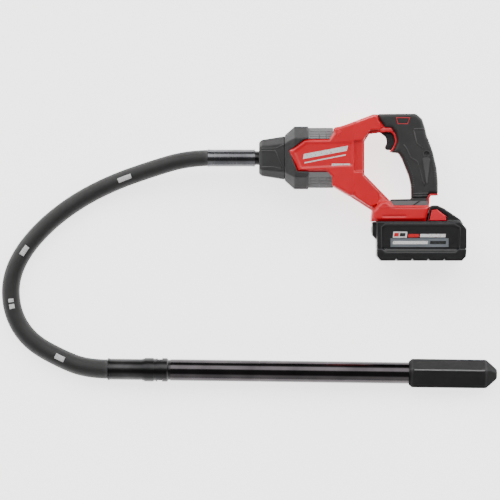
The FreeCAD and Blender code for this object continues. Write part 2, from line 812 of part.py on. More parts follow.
# --- battery -------------------------------------------------------------------------------------
SEAM = "foot_floor - seam_drop"
BASE = "foot_floor - battery_drop"
END = "battery_front + battery_length"
LATCH = [(101.3, -33.4), (109.4, -32.6), (122.6, -42.4), (122.6, -49.0), (97.6, -49.0)]
LATCH_ROOM = [(100.2, -32.6), (109.8, -31.6), (123.8, -41.8), (123.8, -49.8), (96.6, -49.8)]

upper = new_body("battery_case_upper", SIDE)
spread(upper, "body", "XY_Plane", [
    ("battery_front", SEAM), (END, SEAM), (END, "foot_floor - 10.8"), (f"{END} - 9", "foot_floor - 0.3"),
    ("battery_front", "foot_floor - 0.3"),
], "battery_half")
spread(upper, "tower", "XY_Plane", [
    (95.0, "foot_floor - 0.3"), (99.7, -28.5), (101.5, -26.6), (109.4, -26.4, 6), (119.0, -30.7, 8),
    (f"{END} - 9", "foot_floor + 3"), (END, "foot_floor - 10.8"), (95.0, "foot_floor - 10.8"),
], "tower_half")
spread(upper, "rail_neck", "XY_Plane",
       block(23.0, 96.0, "foot_floor - 1", "foot_floor + ledge_height + 0.4"), "ledge_half - slide_gap")
spread(upper, "rail_head", "XY_Plane",
       block(23.0, 96.0, "foot_floor + ledge_height + 0.4", "foot_floor + bay_depth - 0.6"),
       "bay_half + 2 - slide_gap")
spread(upper, "front_toe", "XY_Plane", [
    ("battery_front - 6.4", "foot_floor - 0.6"), ("battery_front + 2", "foot_floor - 0.6"),
    ("battery_front + 2", "foot_floor - 27"), ("battery_front", "foot_floor - 27"),
    ("battery_front - 6.4", "foot_floor - 20"),
], 26)
spread_cut(upper, "cell_room", "XY_Plane",
           block("battery_front + battery_wall", f"{END} - battery_wall", f"{SEAM} - 1", "foot_floor - 4"),
           "battery_half - battery_wall - 2")
spread_cut(upper, "tower_room", "XY_Plane",
           [(104.0, "foot_floor - 5"), (104.0, -36.0), (116.0, -36.0), (128.0, "foot_floor - 5")],
           "tower_half - 12")
spread_cut(upper, "terminal_slots", "XY_Plane",
           block(22.0, 78.0, "foot_floor + 2", "foot_floor + bay_depth"), 1.2)
for side, hand in HANDS:
    hollow(upper, f"latch_room_{hand}", side, LATCH_ROOM, "tower_half + 1", "tower_half - latch_depth - 4")
    recess = [
        ("battery_front + 8", SEAM), ("battery_front + 8", "foot_floor - 8"),
        ("battery_front + 13", "foot_floor - 4.5"), (f"{END} - 18", "foot_floor - 4.5"),
        (f"{END} - 11", "foot_floor - 9"), (f"{END} - 11", SEAM),
    ]
    hollow(upper, f"side_recess_{hand}", side, recess, "battery_half + 1", "battery_half - 1.6")
drill(upper, "gauge_hole", "battery_front - 7", "battery_front - 3", 5.2, "foot_floor - 12")

lower = new_body("battery_case_lower", SIDE)
spread(lower, "body", "XY_Plane", [
    ("battery_front", SEAM), ("battery_front", f"{BASE} + 7"), ("battery_front + 6", BASE),
    (f"{END} - 7", BASE), (f"{END} - 1", f"{BASE} + 6"), (END, SEAM),
], "battery_half")
spread_cut(lower, "cell_room", "XY_Plane",
           block("battery_front + battery_wall", f"{END} - battery_wall", f"{BASE} + 5", f"{SEAM} + 1"),
           "battery_half - battery_wall - 2")
for side, hand in HANDS:
    recess = [
        ("battery_front + 8", SEAM), ("battery_front + 14", f"{BASE} + 13.5"),
        (f"{END} - 17", f"{BASE} + 13.5"), (f"{END} - 11", SEAM),
    ]
    hollow(lower, f"side_recess_{hand}", side, recess, "battery_half + 1", "battery_half - 1.6")
for number in range(4):
    x = f"battery_front + 27 + {23.2 * number:.1f}"
    notch = block(x, f"{x} + 2.4", f"{BASE} - 1", f"{BASE} + 3")
    spread_cut(lower, f"foot_notch_{number}", "XY_Plane", notch, "battery_half + 1")

cells = []
for number in range(10):
    column, tier = number % 5, number // 5
    place = (f"{END} - battery_wall - 12 - {column} * (2 * cell_radius + 0.6)",
             f"{BASE} + 5.6 + cell_radius + {tier} * (2 * cell_radius + 0.6)",
             "half_width - cell_length / 2")
    cells.append(rod(f"cell_{number}", place, "cell_radius", "cell_length"))
group("battery_cells", cells)
pack_board = new_body("battery_board", SIDE)
board_edges = block("battery_front + 6", f"{END} - 30", "foot_floor - 6.6", "foot_floor - 5")
spread(pack_board, "board", "XY_Plane", board_edges, "battery_half - 10")
contacts = new_body("battery_contacts", SIDE)
spread(contacts, "blade", "XY_Plane", block(40.0, 76.0, "foot_floor + 2", "foot_floor + 8"), 1.0)
plates = []
for side, hand in HANDS:
    plate = doc.addObject("Part::Box", f"label_plate_{hand}")
    plate.setExpression("Length", bound("battery_length - 46"))
    plate.setExpression("Width", "12.8")
    plate.setExpression("Height", "0.8")
    level = "battery_half - 1.6" if side > 0 else "-(battery_half - 1.6) - 0.8"
    set_place(plate, ("battery_front + 19.7", "foot_floor - 37.3", f"half_width + {level}"))
    plates.append(plate)
group("battery_labels", plates)

for side, hand in HANDS:
    latch = new_body(f"latch_{hand}", SIDE)
    slab(latch, "button", side, LATCH, "tower_half + latch_proud", 1, near="tower_half - latch_depth + 1.5")
    start = "tower_half - latch_depth - 3.9"
    level = f"half_width + {start}" if side > 0 else f"half_width - ({start}) - 5.2"
    holder = rod(f"latch_spring_{hand}_core", ("110", "-42", level), "spring_radius", 5.2)
    room = rod(f"latch_spring_{hand}_bore", ("110", "-42", f"{level} - 1"), "spring_radius - 1", 7.2)
    part_cut(f"latch_spring_{hand}", holder, [room])
gauge = new_body("gauge_button", ("0", "foot_floor - 12", "half_width"))
ring(gauge, "cap", "battery_front - 7.4", "battery_front - 4.4", 4.8)

# --- fasteners ------------------------------------------------------------------------------------
screws = []
for number, (x, y) in enumerate(SHELL_SCREWS + GRIP_SCREWS):
    shank = rod(f"screw_{number}_shank", (x, y, "half_width - screw_grip"), "screw_radius - 0.05",
                "2 * screw_grip - 1")
    head = rod(f"screw_{number}_head", (x, y, "half_width - screw_grip - screw_head_height"),
               "screw_head_radius", "screw_head_height")
    socket_hole = rod(f"screw_{number}_socket", (x, y, "half_width - screw_grip - screw_head_height - 1"),
                      "screw_radius - 0.5", "screw_head_height")
    blank = doc.addObject("Part::Fuse", f"screw_{number}_blank")
    blank.Base = shank
    blank.Tool = head
    screw = doc.addObject("Part::Cut", f"screw_{number}")
    screw.Base = blank
    screw.Tool = socket_hole
    screws.append(screw)
group("housing_screws", screws)

# --- flexible shaft ------------------------------------------------------------------------------
def route_path(points, ease=0.45):
    """Straight runs joined by arcs tangent to both neighbours, as one wire."""
    knots = [Vector(*point) for point in points]
    edges = []
    here = knots[0]
    for before, corner, after in zip(knots, knots[1:], knots[2:]):
        back = before - corner
        ahead = after - corner
        reach = ease * min(back.Length, ahead.Length)
        turn = math.pi - back.getAngle(ahead)
        radius = reach / math.tan(turn / 2)
        back.normalize()
        ahead.normalize()
        arrive, leave = corner + back * reach, corner + ahead * reach
        inward = (back + ahead).normalize()
        middle = corner + inward * (radius / math.cos(turn / 2) - radius)
        edges.append(Part.LineSegment(here, arrive).toShape())
        edges.append(Part.Arc(arrive, middle, leave).toShape())
        here = leave
        print(f"hose bend {math.degrees(turn):5.1f} deg, radius {radius:6.1f} mm")
    edges.append(Part.LineSegment(here, knots[-1]).toShape())
    return Part.Wire(edges)


def tube_along(path, radius):
    """A round solid swept along a wire."""
    start = path.Edges[0].Vertexes[0].Point
    ahead = path.Edges[0].tangentAt(path.Edges[0].FirstParameter)
    section = Part.Wire(Part.makeCircle(radius, start, ahead))
    return path.makePipeShell([section], True, False)


path = route_path(HOSE_ROUTE)
outer = tube_along(path, value("hose_radius"))
bore = tube_along(path, value("hose_bore"))
hose = doc.addObject("Part::Feature", "hose")
hose.Label = "hose"
hose.Shape = outer.cut(bore)
nodes["hose"] = hose
core = doc.addObject("Part::Feature", "drive_core")
core.Label = "drive_core"
core.Shape = tube_along(path, value("core_radius"))
nodes["drive_core"] = core
section = math.pi * (value("hose_radius") ** 2 - value("hose_bore") ** 2)
print(f"hose length {path.Length:.1f} mm, volume ratio {hose.Shape.Volume / (section * path.Length):.4f}")

FERRULE = ("hose_end", "shaft_line", "half_width")
ferrule = new_body("hose_ferrule", FERRULE)
turned(ferrule, "sleeve", [
    (0, "core_radius + 1"), ("ferrule_length", "core_radius + 1"), ("ferrule_length", "hose_radius"),
    ("ferrule_length - 3", "hose_radius"), ("ferrule_length - 3", "hose_radius - 0.3"),
    (3, "hose_radius - 0.3"), (3, "hose_radius + 0.2"), (0, "hose_radius + 0.2"),
])
neck = new_body("shaft_neck", FERRULE)
turned(neck, "spigot", [
    ("ferrule_length", "core_radius - 0.8"), ("nose_x - hose_end + 8", "core_radius - 0.8"),
    ("nose_x - hose_end + 8", 6.2), ("nose_x - hose_end - 4.9", 6.2), ("nose_x - hose_end - 4.9", 10.7),
    ("ferrule_length", 10.7),
])
core_end = new_body("core_end", FERRULE)
ring(core_end, "rod", 0.6, "nose_x - hose_end + 8", "core_radius - 1.3")
ring(core_end, "square", "nose_x - hose_end + 8", "boot_end - hose_end - 6", "core_radius - 1.7")

# --- vibrating head --------------------------------------------------------------------------------
HEAD = ("head_x", "head_y", "head_line")
F1 = "head_ferrule_length"
C1 = "head_ferrule_length + coupling_length"
N1 = "head_ferrule_length + coupling_length + 3.2"
R1 = f"{N1} + rear_tube_length"
T1 = f"{R1} + front_tube_length"


def head_body(name):
    """Start a piece of the head in the head's own turned frame."""
    return new_body(name, HEAD, "head_turn")


head_ferrule = head_body("head_ferrule")
turned(head_ferrule, "sleeve", [
    (0, "core_radius + 1"), (F1, "core_radius + 1"), (F1, "head_ferrule_radius"),
    (f"{F1} - 3", "head_ferrule_radius"), (f"{F1} - 3", "head_ferrule_radius - 0.8"),
    (3, "head_ferrule_radius - 0.8"), (3, "head_ferrule_radius"), (0, "head_ferrule_radius"),
])
coupling = head_body("head_coupling")
turned(coupling, "nut", [
    (F1, "core_radius + 1"), (N1, "core_radius + 1"), (N1, "tube_radius - 1"), (C1, "tube_radius - 1"),
    (C1, "coupling_radius - 2"), (f"{C1} - 2", "coupling_radius"), (f"{F1} + 17.5", "coupling_radius"),
    (f"{F1} + 17.5", "coupling_radius - 1.2"), (f"{F1} + 13.5", "coupling_radius - 1.2"),
    (f"{F1} + 13.5", "coupling_radius"), (F1, "coupling_radius"),
])
flat = block(f"{F1} + 19", f"{F1} + 26", "coupling_radius - 2", "coupling_radius + 1")
flats = spread_cut(coupling, "wrench_flat", "XY_Plane", flat, "coupling_radius")
around(coupling, flats, 2)
rear_tube = head_body("head_tube_rear")
ring(rear_tube, "tube", N1, R1, "tube_radius", "tube_radius - tube_wall")
front_tube = head_body("head_tube_front")
turned(front_tube, "tube", [
    (R1, "tube_radius - tube_wall"), (T1, "tube_radius - tube_wall"), (T1, "tube_radius"),
    (f"{R1} + 1.2", "tube_radius"), (f"{R1} + 1.2", "tube_radius - 0.6"), (R1, "tube_radius - 0.6"),
])
for number, start in enumerate((f"{R1} + 24", f"{T1} - 20")):
    bearing = head_body(f"head_bearing_{'rear' if number == 0 else 'front'}")
    ring(bearing, "ring", start, f"{start} + bearing_width", "tube_radius - tube_wall",
         "shaft_radius + run_gap")
seal = head_body("head_seal")
ring(seal, "ring", f"{R1} + 14", f"{R1} + 20", "tube_radius - tube_wall", "shaft_radius + run_gap")
head_shaft = head_body("head_drive_shaft")
ring(head_shaft, "rod", 0.8, f"{R1} + 12.5", "core_radius - 1.5")
weight = head_body("eccentric_weight")
ring(weight, "spindle", f"{R1} + 12.5", f"{T1} - 10", "shaft_radius")
half = [(0, -1.0), ("weight_radius", -1.0, 1.5), ("weight_radius - 3", "weight_radius - 4", 3),
        ("-(weight_radius) + 3", "weight_radius - 4", 3), ("-(weight_radius)", -1.0, 1.5)]
pad(weight, "weight", "YZ_Plane", f"{R1} + 46", half, "weight_length")
plug = head_body("head_end_plug")
turned(plug, "plug", [
    (f"{T1} - 6", 0), (f"{T1} + 60", 0), (f"{T1} + 60", "tube_radius - 6"), (T1, "tube_radius - 6"),
    (T1, "tube_radius - tube_wall"), (f"{T1} - 6", "tube_radius - tube_wall"),
])
tip = head_body("rubber_tip")


def tip_square(scale):
    """Corners of the tip's square section, turned about its axis, with rounded corners."""
    corners = []
    for step in range(4):
        angle = f"(tip_turn + {90 * step})"
        reach = f"({scale}) * tip_side * 0.70711"
        corners.append((f"{reach} * cos({angle})", f"{reach} * sin({angle})", f"2.5 * ({scale})"))
    return corners


def tip_stage(tag, start, end, scale_start, scale_end):
    """Loft one length of the tip between two square stations."""
    first = outline(tip, f"{tag}_start", "YZ_Plane", start, tip_square(scale_start))
    last = outline(tip, f"{tag}_end", "YZ_Plane", end, tip_square(scale_end))
    loft = tip.newObject("PartDesign::AdditiveLoft", f"rubber_tip_{tag}")
    loft.Profile = first
    loft.Sections = [last]
    loft.Ruled = True


tip_stage("heel", T1, f"{T1} + 5", 0.80, 1.0)
pad(tip, "shank", "YZ_Plane", f"{T1} + 5", tip_square(1.0), "tip_length - 21")
tip_stage("nose", f"{T1} + tip_length - 16", f"{T1} + tip_length", 1.0, 0.34)
drill(tip, "plug_bore", f"{T1} - 1", f"{T1} + 60.5", "tube_radius - 6")

# --- check and export -----------------------------------------------------------------------------
doc.recompute()
faults = [f"{thing.Name}: {thing.State}" for thing in doc.Objects
          if any(word in thing.State for word in ("Invalid", "Error"))]
for name, node in nodes.items():
    if node.Shape.isNull() or not node.Shape.isValid() or not node.Shape.Solids:
        faults.append(f"{name}: bad shape")
if faults:
    raise RuntimeError("; ".join(faults))
os.makedirs("parts", exist_ok=True)
for name, node in nodes.items():
    node.Shape.exportStep(f"parts/{name}.step")
    print(f"{name:24s} {len(node.Shape.Solids):2d} solid(s) {node.Shape.Volume / 1000:9.2f} cm3")
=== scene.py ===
"""Concrete vibrator: looks of the power unit, the flexible shaft and the vibrating head."""

import json
import logging
import math
from dataclasses import dataclass, field
from enum import Enum

import bmesh
import bpy
from mathutils import Matrix, Vector

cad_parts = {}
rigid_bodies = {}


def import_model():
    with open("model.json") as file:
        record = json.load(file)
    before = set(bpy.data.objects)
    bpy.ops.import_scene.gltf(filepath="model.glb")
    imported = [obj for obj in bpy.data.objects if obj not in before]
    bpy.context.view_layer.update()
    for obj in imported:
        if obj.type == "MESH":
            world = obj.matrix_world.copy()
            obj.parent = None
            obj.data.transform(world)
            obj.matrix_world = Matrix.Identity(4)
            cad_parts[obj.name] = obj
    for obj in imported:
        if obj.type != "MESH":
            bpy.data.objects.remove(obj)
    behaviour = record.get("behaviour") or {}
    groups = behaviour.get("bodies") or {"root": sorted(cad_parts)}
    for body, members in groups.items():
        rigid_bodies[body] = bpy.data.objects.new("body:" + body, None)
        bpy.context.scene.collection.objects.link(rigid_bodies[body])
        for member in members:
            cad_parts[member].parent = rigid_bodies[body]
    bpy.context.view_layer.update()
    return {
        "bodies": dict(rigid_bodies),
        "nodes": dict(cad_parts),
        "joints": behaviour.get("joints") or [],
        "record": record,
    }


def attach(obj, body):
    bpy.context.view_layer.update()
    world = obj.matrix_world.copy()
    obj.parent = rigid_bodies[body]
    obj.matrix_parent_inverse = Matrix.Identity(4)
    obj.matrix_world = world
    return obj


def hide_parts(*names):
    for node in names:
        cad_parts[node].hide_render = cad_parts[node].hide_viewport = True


LOG = logging.getLogger("vibrator")
MM = 0.001
SCUFF_AND_HIGHLIGHT_GREY = "6E6E6E"  # grey painted along rubber edges: scuffs, and a painted edge highlight

# The flexible shaft's route, in metres: out of the ferrule, down on the floor, up to the head.
HOSE_ROUTE = [
    (-0.2244, 0.0428, 0.0420),
    (-0.2540, 0.0422, 0.0415),
    (-0.3040, 0.0280, 0.0315),
    (-0.3660, 0.0065, 0.0170),
    (-0.4210, -0.0225, 0.0132),
    (-0.4680, -0.0600, 0.0130),
    (-0.5020, -0.1030, 0.0130),
    (-0.5155, -0.1450, 0.0130),
    (-0.5090, -0.1900, 0.0132),
    (-0.4840, -0.2260, 0.0145),
    (-0.4400, -0.2505, 0.0175),
    (-0.4020, -0.2652, 0.0209),
    (-0.3710, -0.2658, 0.0213),
]


class Axis(Enum):
    """Directions that a turned or drawn surface can run in."""

    X = 0
    Y = 1
    Z = 2


class Body(Enum):
    """Bodies that an added piece can ride on."""

    ROOT = "root"
    BATTERY = "battery"


def linear(code: str) -> tuple[float, float, float, float]:
    """Turn an sRGB hex colour into linear values.

    Args:
        code: six hex digits.

    Returns:
        Red, green, blue and alpha, linear.
    """
    values = [int(code[i : i + 2], 16) / 255 for i in (0, 2, 4)]
    bent = [v / 12.92 if v <= 0.04045 else ((v + 0.055) / 1.055) ** 2.4 for v in values]
    return (*bent, 1.0)


def node(tree: bpy.types.NodeTree, kind: str, **wanted) -> bpy.types.Node:
    """Add a shader node with its settings and links.

    Args:
        tree: the material's node tree.
        kind: the node's type name without its ShaderNode prefix.
        wanted: properties by name, and sockets by name with spaces as underscores or as
            in0, in1 and so on by number. An output socket makes a link, anything else is a value.

    Returns:
        The new node.
    """
    made = tree.nodes.new(f"ShaderNode{kind}")
    for key, setting in wanted.items():
        if key.startswith("in") and key[2:].isdigit():
            socket = made.inputs[int(key[2:])]
        elif hasattr(made, key) and key != "color":
            setattr(made, key, setting)
            continue
        else:
            socket = made.inputs[key.replace("_", " ")]
        if isinstance(setting, bpy.types.NodeSocket):
            tree.links.new(setting, socket)
        else:
            socket.default_value = setting
    return made


def ramp(tree: bpy.types.NodeTree, source: bpy.types.NodeSocket, stops: list) -> bpy.types.NodeSocket:
    """Map a value to colours along a ramp.

    Args:
        tree: the material's node tree.
        source: the value socket to map.
        stops: pairs of position and hex colour or grey level.

    Returns:
        The ramp's colour socket.
    """
    made = node(tree, "ValToRGB", in0=source)
    elements = made.color_ramp.elements
    for index, (position, shade) in enumerate(stops):
        element = elements[index] if index < 2 else elements.new(position)
        element.position = position
        element.color = linear(shade) if isinstance(shade, str) else (shade, shade, shade, 1.0)
    return made.outputs[0]


def start_material(name: str) -> tuple[bpy.types.Material, bpy.types.NodeTree, bpy.types.NodeSocket]:
    """Start an empty node material.

    Args:
        name: the material's name.

    Returns:
        The material, its tree and the object coordinates in metres.
    """
    material = bpy.data.materials.new(name)
    material.use_nodes = True
    tree = material.node_tree
    tree.nodes.clear()
    place = node(tree, "TexCoord")
    return material, tree, place.outputs["Object"]


def finish_material(material: bpy.types.Material, shader: bpy.types.Node) -> bpy.types.Material:
    """Connect the shader to the material's output and return the material."""
    tree = material.node_tree
    node(tree, "OutputMaterial", Surface=shader.outputs[0])
    return material


def noise(
    tree: bpy.types.NodeTree, where: bpy.types.NodeSocket, size_mm: float, detail: float = 3.0
) -> bpy.types.NodeSocket:
    """Noise whose blobs have a real size.

    Args:
        tree: the material's node tree.
        where: coordinates in metres.
        size_mm: size of one blob in millimetres.
        detail: octaves of finer detail.

    Returns:
        The noise value, from 0 to 1.
    """
    return node(tree, "TexNoise", Vector=where, Scale=1000.0 / size_mm, Detail=detail).outputs[0]


@dataclass(frozen=True)
class MouldedNylon:
    """Injection-moulded nylon with a spark-eroded grain.

    The grain breaks the highlight up into a soft sheen, and edges are painted lighter, for scuffing and as a
    painted edge highlight.

    Attributes:
        name: the material's name.
        colour: its colour.
        edge_scuff_and_highlight: its colour along its edges, for scuffing and as a painted edge highlight.
        roughness: middle roughness.
        grain_mm: size of the grain.
        grain_height: height of the grain, in metres.
        edge_share: how far the edge colour shows.
    """

    name: str
    colour: str
    edge_scuff_and_highlight: str
    roughness: float = 0.42
    grain_mm: float = 0.9  # real grain is near 0.3 mm; drawn coarser so that it shows
    grain_height: float = 0.00006
    edge_share: float = 0.35

    def build(self) -> bpy.types.Material:
        """Make the material."""
        material, tree, where = start_material(self.name)
        cloud = noise(tree, where, 40.0, 4.0)
        grain = noise(tree, where, self.grain_mm, 2.0)
        tint = node(tree, "Mix", data_type="RGBA", blend_type="MULTIPLY", Factor=0.35)
        tint.inputs["A"].default_value = linear(self.colour)
        tree.links.new(ramp(tree, cloud, [(0.3, 0.78), (0.7, 1.0)]), tint.inputs["B"])
        # edges painted lighter: scuffing, and a painted edge highlight
        edge_sharpness = node(tree, "NewGeometry").outputs["Pointiness"]
        edge = ramp(tree, edge_sharpness, [(0.508, 0.0), (0.56, 1.0)])
        share = node(tree, "Math", operation="MULTIPLY", in0=edge, in1=self.edge_share)
        colour = node(tree, "Mix", data_type="RGBA", Factor=share.outputs[0])
        tree.links.new(tint.outputs["Result"], colour.inputs["A"])
        colour.inputs["B"].default_value = linear(self.edge_scuff_and_highlight)
        rough = node(
            tree, "MapRange", Value=noise(tree, where, 6.0), To_Min=self.roughness - 0.05,
            To_Max=self.roughness + 0.08,
        )
        bump = node(tree, "Bump", Height=grain, Distance=self.grain_height, Strength=0.8)
        shader = node(
            tree, "BsdfPrincipled", Base_Color=colour.outputs["Result"], Roughness=rough.outputs[0],
            Normal=bump.outputs[0], IOR=1.53,
        )
        return finish_material(material, shader)


@dataclass(frozen=True)
class Rubber:
    """Black rubber or thermoplastic overmould.

    It drinks the light: a wide dull sheen over near-black, dusted lighter in places, and painted
    grey along its edges for scuffs and as a painted edge highlight.

    Attributes:
        name: the material's name.
        colour: its colour.
        dust: its colour where dust lies.
        roughness: middle roughness.
        grain_mm: size of the grain.
        grain_height: height of the grain, in metres.
        edge_share: how far the painted edge grey shows.
        gloss: share of the usual surface reflection, where 0.5 is a clean surface.
    """

    name: str
    colour: str
    dust: str
    roughness: float = 0.62
    grain_mm: float = 1.2
    grain_height: float = 0.00008
    edge_share: float = 0.25
    gloss: float = 0.5

    def build(self) -> bpy.types.Material:
        """Make the material."""
        material, tree, where = start_material(self.name)
        cloud = noise(tree, where, 25.0, 5.0)
        body = ramp(tree, cloud, [(0.35, self.colour), (0.8, self.dust)])
        # grey painted along sharp edges: scuffs, and a painted edge highlight
        edge = ramp(tree, node(tree, "NewGeometry").outputs["Pointiness"], [(0.51, 0.0), (0.58, 1.0)])
        share = node(tree, "Math", operation="MULTIPLY", in0=edge, in1=self.edge_share)
        edge_painted = node(tree, "Mix", data_type="RGBA", Factor=share.outputs[0])
        tree.links.new(body, edge_painted.inputs["A"])
        edge_painted.inputs["B"].default_value = linear(SCUFF_AND_HIGHLIGHT_GREY)
        colour = edge_painted.outputs["Result"]
        rough = node(
            tree, "MapRange", Value=noise(tree, where, 9.0), To_Min=self.roughness - 0.08,
            To_Max=self.roughness + 0.08,
        )
        grain = noise(tree, where, self.grain_mm, 2.0)
        bump = node(tree, "Bump", Height=grain, Distance=self.grain_height, Strength=0.9)
        shader = node(
            tree, "BsdfPrincipled", Base_Color=colour, Roughness=rough.outputs[0],
            Normal=bump.outputs[0], IOR=1.5,
        )
        shader.inputs["Specular IOR Level"].default_value = self.gloss
        shader.inputs["Sheen Weight"].default_value = 0.04
        shader.inputs["Sheen Roughness"].default_value = 0.5
        return finish_material(material, shader)


@dataclass(frozen=True)
class Metal:
    """Turned, ground, drawn or polished metal.

    Fine rings or streaks along one direction stretch the highlight across them.

    Attributes:
        name: the material's name.
        colour: its colour.
        dark: its colour in the duller patches.
        roughness: middle roughness.
        run: the axis that the tool marks ring.
        ring_mm: pitch of the tool marks.
        mark_height: height of the tool marks, in metres.
        patches_mm: size of the duller patches.
    """

    name: str
    colour: str
    dark: str
    roughness: float
    run: Axis = Axis.X
    ring_mm: float = 0.8  # pitch of the tool marks, drawn coarse enough to show
    mark_height: float = 0.00002
    patches_mm: float = 30.0

    def build(self) -> bpy.types.Material:
        """Make the material."""
        material, tree, where = start_material(self.name)
        stretch = [0.02, 0.02, 0.02]
        stretch[self.run.value] = 1.0
        marks = node(tree, "Mapping", Vector=where, Scale=tuple(stretch))
        rings = noise(tree, marks.outputs[0], self.ring_mm, 2.0)
        patches = noise(tree, where, self.patches_mm, 4.0)
        colour = ramp(tree, patches, [(0.3, self.dark), (0.7, self.colour)])
        rough = node(
            tree, "MapRange", Value=rings, To_Min=max(0.03, self.roughness - 0.06),
            To_Max=self.roughness + 0.08,
        )
        bump = node(tree, "Bump", Height=rings, Distance=self.mark_height, Strength=0.5)
        shader = node(
            tree, "BsdfPrincipled", Base_Color=colour, Metallic=1.0, Roughness=rough.outputs[0],
            Normal=bump.outputs[0],
        )
        return finish_material(material, shader)


@dataclass(frozen=True)
class Laminate:
    """Flat finishes with fine detail: solder-resist boards and cell wraps.

    Attributes:
        name: the material's name.
        colour: its colour.
        second: its colour away from the middle of each cell of the pattern.
        size_mm: size of the pattern's cells.
        roughness: roughness.
    """

    name: str
    colour: str
    second: str
    size_mm: float
    roughness: float

    def build(self) -> bpy.types.Material:
        """Make the material."""
        material, tree, where = start_material(self.name)
        cells = node(tree, "TexVoronoi", Vector=where, Scale=1000.0 / self.size_mm)
        colour = ramp(tree, cells.outputs["Distance"], [(0.2, self.colour), (0.9, self.second)])
        bump = node(tree, "Bump", Height=cells.outputs["Distance"], Distance=0.00003, Strength=0.4)
        shader = node(
            tree, "BsdfPrincipled", Base_Color=colour, Roughness=self.roughness,
            Normal=bump.outputs[0], IOR=1.5,
        )
        return finish_material(material, shader)


@dataclass(frozen=True)
class Ink:
    """Pad-printed ink.

    Flat and clean, with tiny breaks in its cover that keep it from looking pasted on.

    Attributes:
        name: the material's name.
        colour: the ink's colour.
        worn: the colour that shows through its breaks.
        roughness: roughness.
    """

    name: str
    colour: str
    worn: str
    roughness: float = 0.45

    def build(self) -> bpy.types.Material:
        """Make the material."""
        material, tree, where = start_material(self.name)
        specks = noise(tree, where, 1.6, 3.0)
        colour = ramp(tree, specks, [(0.30, self.worn), (0.42, self.colour)])
        bump = node(tree, "Bump", Height=specks, Distance=0.00002, Strength=0.4)
        shader = node(
            tree, "BsdfPrincipled", Base_Color=colour, Roughness=self.roughness,
            Normal=bump.outputs[0],
        )
        return finish_material(material, shader)


FINISHES = {
    # red glass-filled nylon: bright, with a soft sheen, its edges painted pinker for scuffing and as a
    # painted edge highlight
    "red_nylon": MouldedNylon("red glass-filled nylon", "CE0018", "EE2840", 0.36),
    # overmoulded handle and bumper rubber: charcoal, dull
    "black_overmould": Rubber("overmoulded thermoplastic rubber", "1C1C1C", "252525", 0.55),
    # grey nylon inserts: mid grey, satin
    "grey_nylon": MouldedNylon("grey nylon", "4A4A4B", "777778", 0.45, edge_share=0.5),
    # black nylon: darker and tighter in its sheen than the rubber beside it
    "black_nylon": MouldedNylon("black nylon", "101011", "333334", 0.4, edge_share=0.3),
    # battery case: deep black, its edges painted lighter as a painted chamfer highlight
    "battery_black": MouldedNylon("battery case nylon", "0A0A0B", "38393C", 0.34, edge_share=0.6),
    # foil plate: an even cool grey that takes the light flat
    "label_silver": Metal("satin foil plate", "8E949B", "7F858C", 0.38, patches_mm=60.0),
    # die casting: pale, with a dull open skin
    "cast_aluminium": Metal("die-cast aluminium", "A4A4A6", "8A8A8C", 0.45, ring_mm=3.0),
    # zinc plating: bright and slightly blotchy, ringed about the screws' own axis
    "zinc_steel": Metal("zinc-plated steel", "A8A8A8", "8E8E90", 0.3, Axis.Z),
    # ground races: clean and bright
    "bearing_steel": Metal("ground bearing steel", "B9B9BC", "A5A5A8", 0.2),
    # stacked sheets: fine dark lines between grey edges
    "lamination_steel": Metal(
        "stacked laminations", "6B6B6E", "4E4E50", 0.45, ring_mm=1.0, mark_height=0.0001
    ),
    # drawn wire: grey with a soft line of light
    "spring_steel": Metal("drawn spring wire", "9E9E9E", "7E7E80", 0.3),
    # solder resist: deep green with a waxy gloss
    "circuit_board": Laminate("solder resist on glass fibre", "0E4A22", "16602F", 2.5, 0.35),
    # shrink wrap: blue and glossy, tight over the cans
    "cell_wrap": Laminate("shrink-wrapped steel cans", "1E4E86", "2A62A4", 12.0, 0.3),
    # tinned copper: warm and a little dull
    "copper_contact": Metal("tinned copper", "C58A5A", "A8744A", 0.3),
    # wrapped rubber hose: matt black-grey with fabric marks left by its wrapping
    "hose_rubber": Rubber("wrapped rubber hose", "0F0F0E", "181817", 0.6, 2.0, 0.00012, 0.25, 0.4),
    # wound wire: dark grey, lit where the strands turn
    "core_wire": Metal("wound steel wire", "6A6A6C", "4A4A4C", 0.4),
    # blackened steel ferrules: dark with a bright streak
    "ferrule_steel": Metal(
        "blackened turned steel", "3E3D3E", "2A2A2B", 0.3, ring_mm=1.2, mark_height=0.00005
    ),
    # polished head: near-mirror, dark smoky steel
    "polished_steel": Metal(
        "polished hardened steel", "4A4648", "3A3739", 0.13, ring_mm=1.5, mark_height=0.000004
    ),
    # nitrile: brownish black and slightly oily
    "seal_rubber": Rubber("nitrile seal", "1A1716", "241F1E", 0.5),
    # tip rubber: dead matt, its corners painted grey as a painted ridge highlight
    "tip_rubber": Rubber("moulded tip rubber", "1B1B1B", "212121", 0.8, 1.5, 0.0001, 0.8, 0.12),
    # pale grey rib along the tip's upper corner: a painted ridge highlight
    "tip_ridge_highlight": Rubber("tip ridge highlight rubber", "6A6A6A", "7C7C7C", 0.6, 1.5, 0.0001),
    # bright ferrule at the tool's nose: ground steel with long clear streaks
    "bright_ferrule": Metal("ground steel ferrule", "6A6A6D", "505053", 0.24, ring_mm=1.2),
    # white ink: clean bars, with the red shell showing through tiny breaks
    "white_ink": Ink("white pad-printing ink", "D8D8D8", "8C1010"),
    # the hose's marks: duller white, because rubber dulls the ink
    "pale_ink": Ink("white ink on black rubber", "C4C4C4", "2A2A2A", 0.6),
    # red ink: deep, with darker breaks
    "red_ink": Ink("red pad-printing ink", "C00812", "500008"),
    # black ink: flat and slightly greyed
    "dark_ink": Ink("black pad-printing ink", "0C0C0D", "3A3D40"),
}


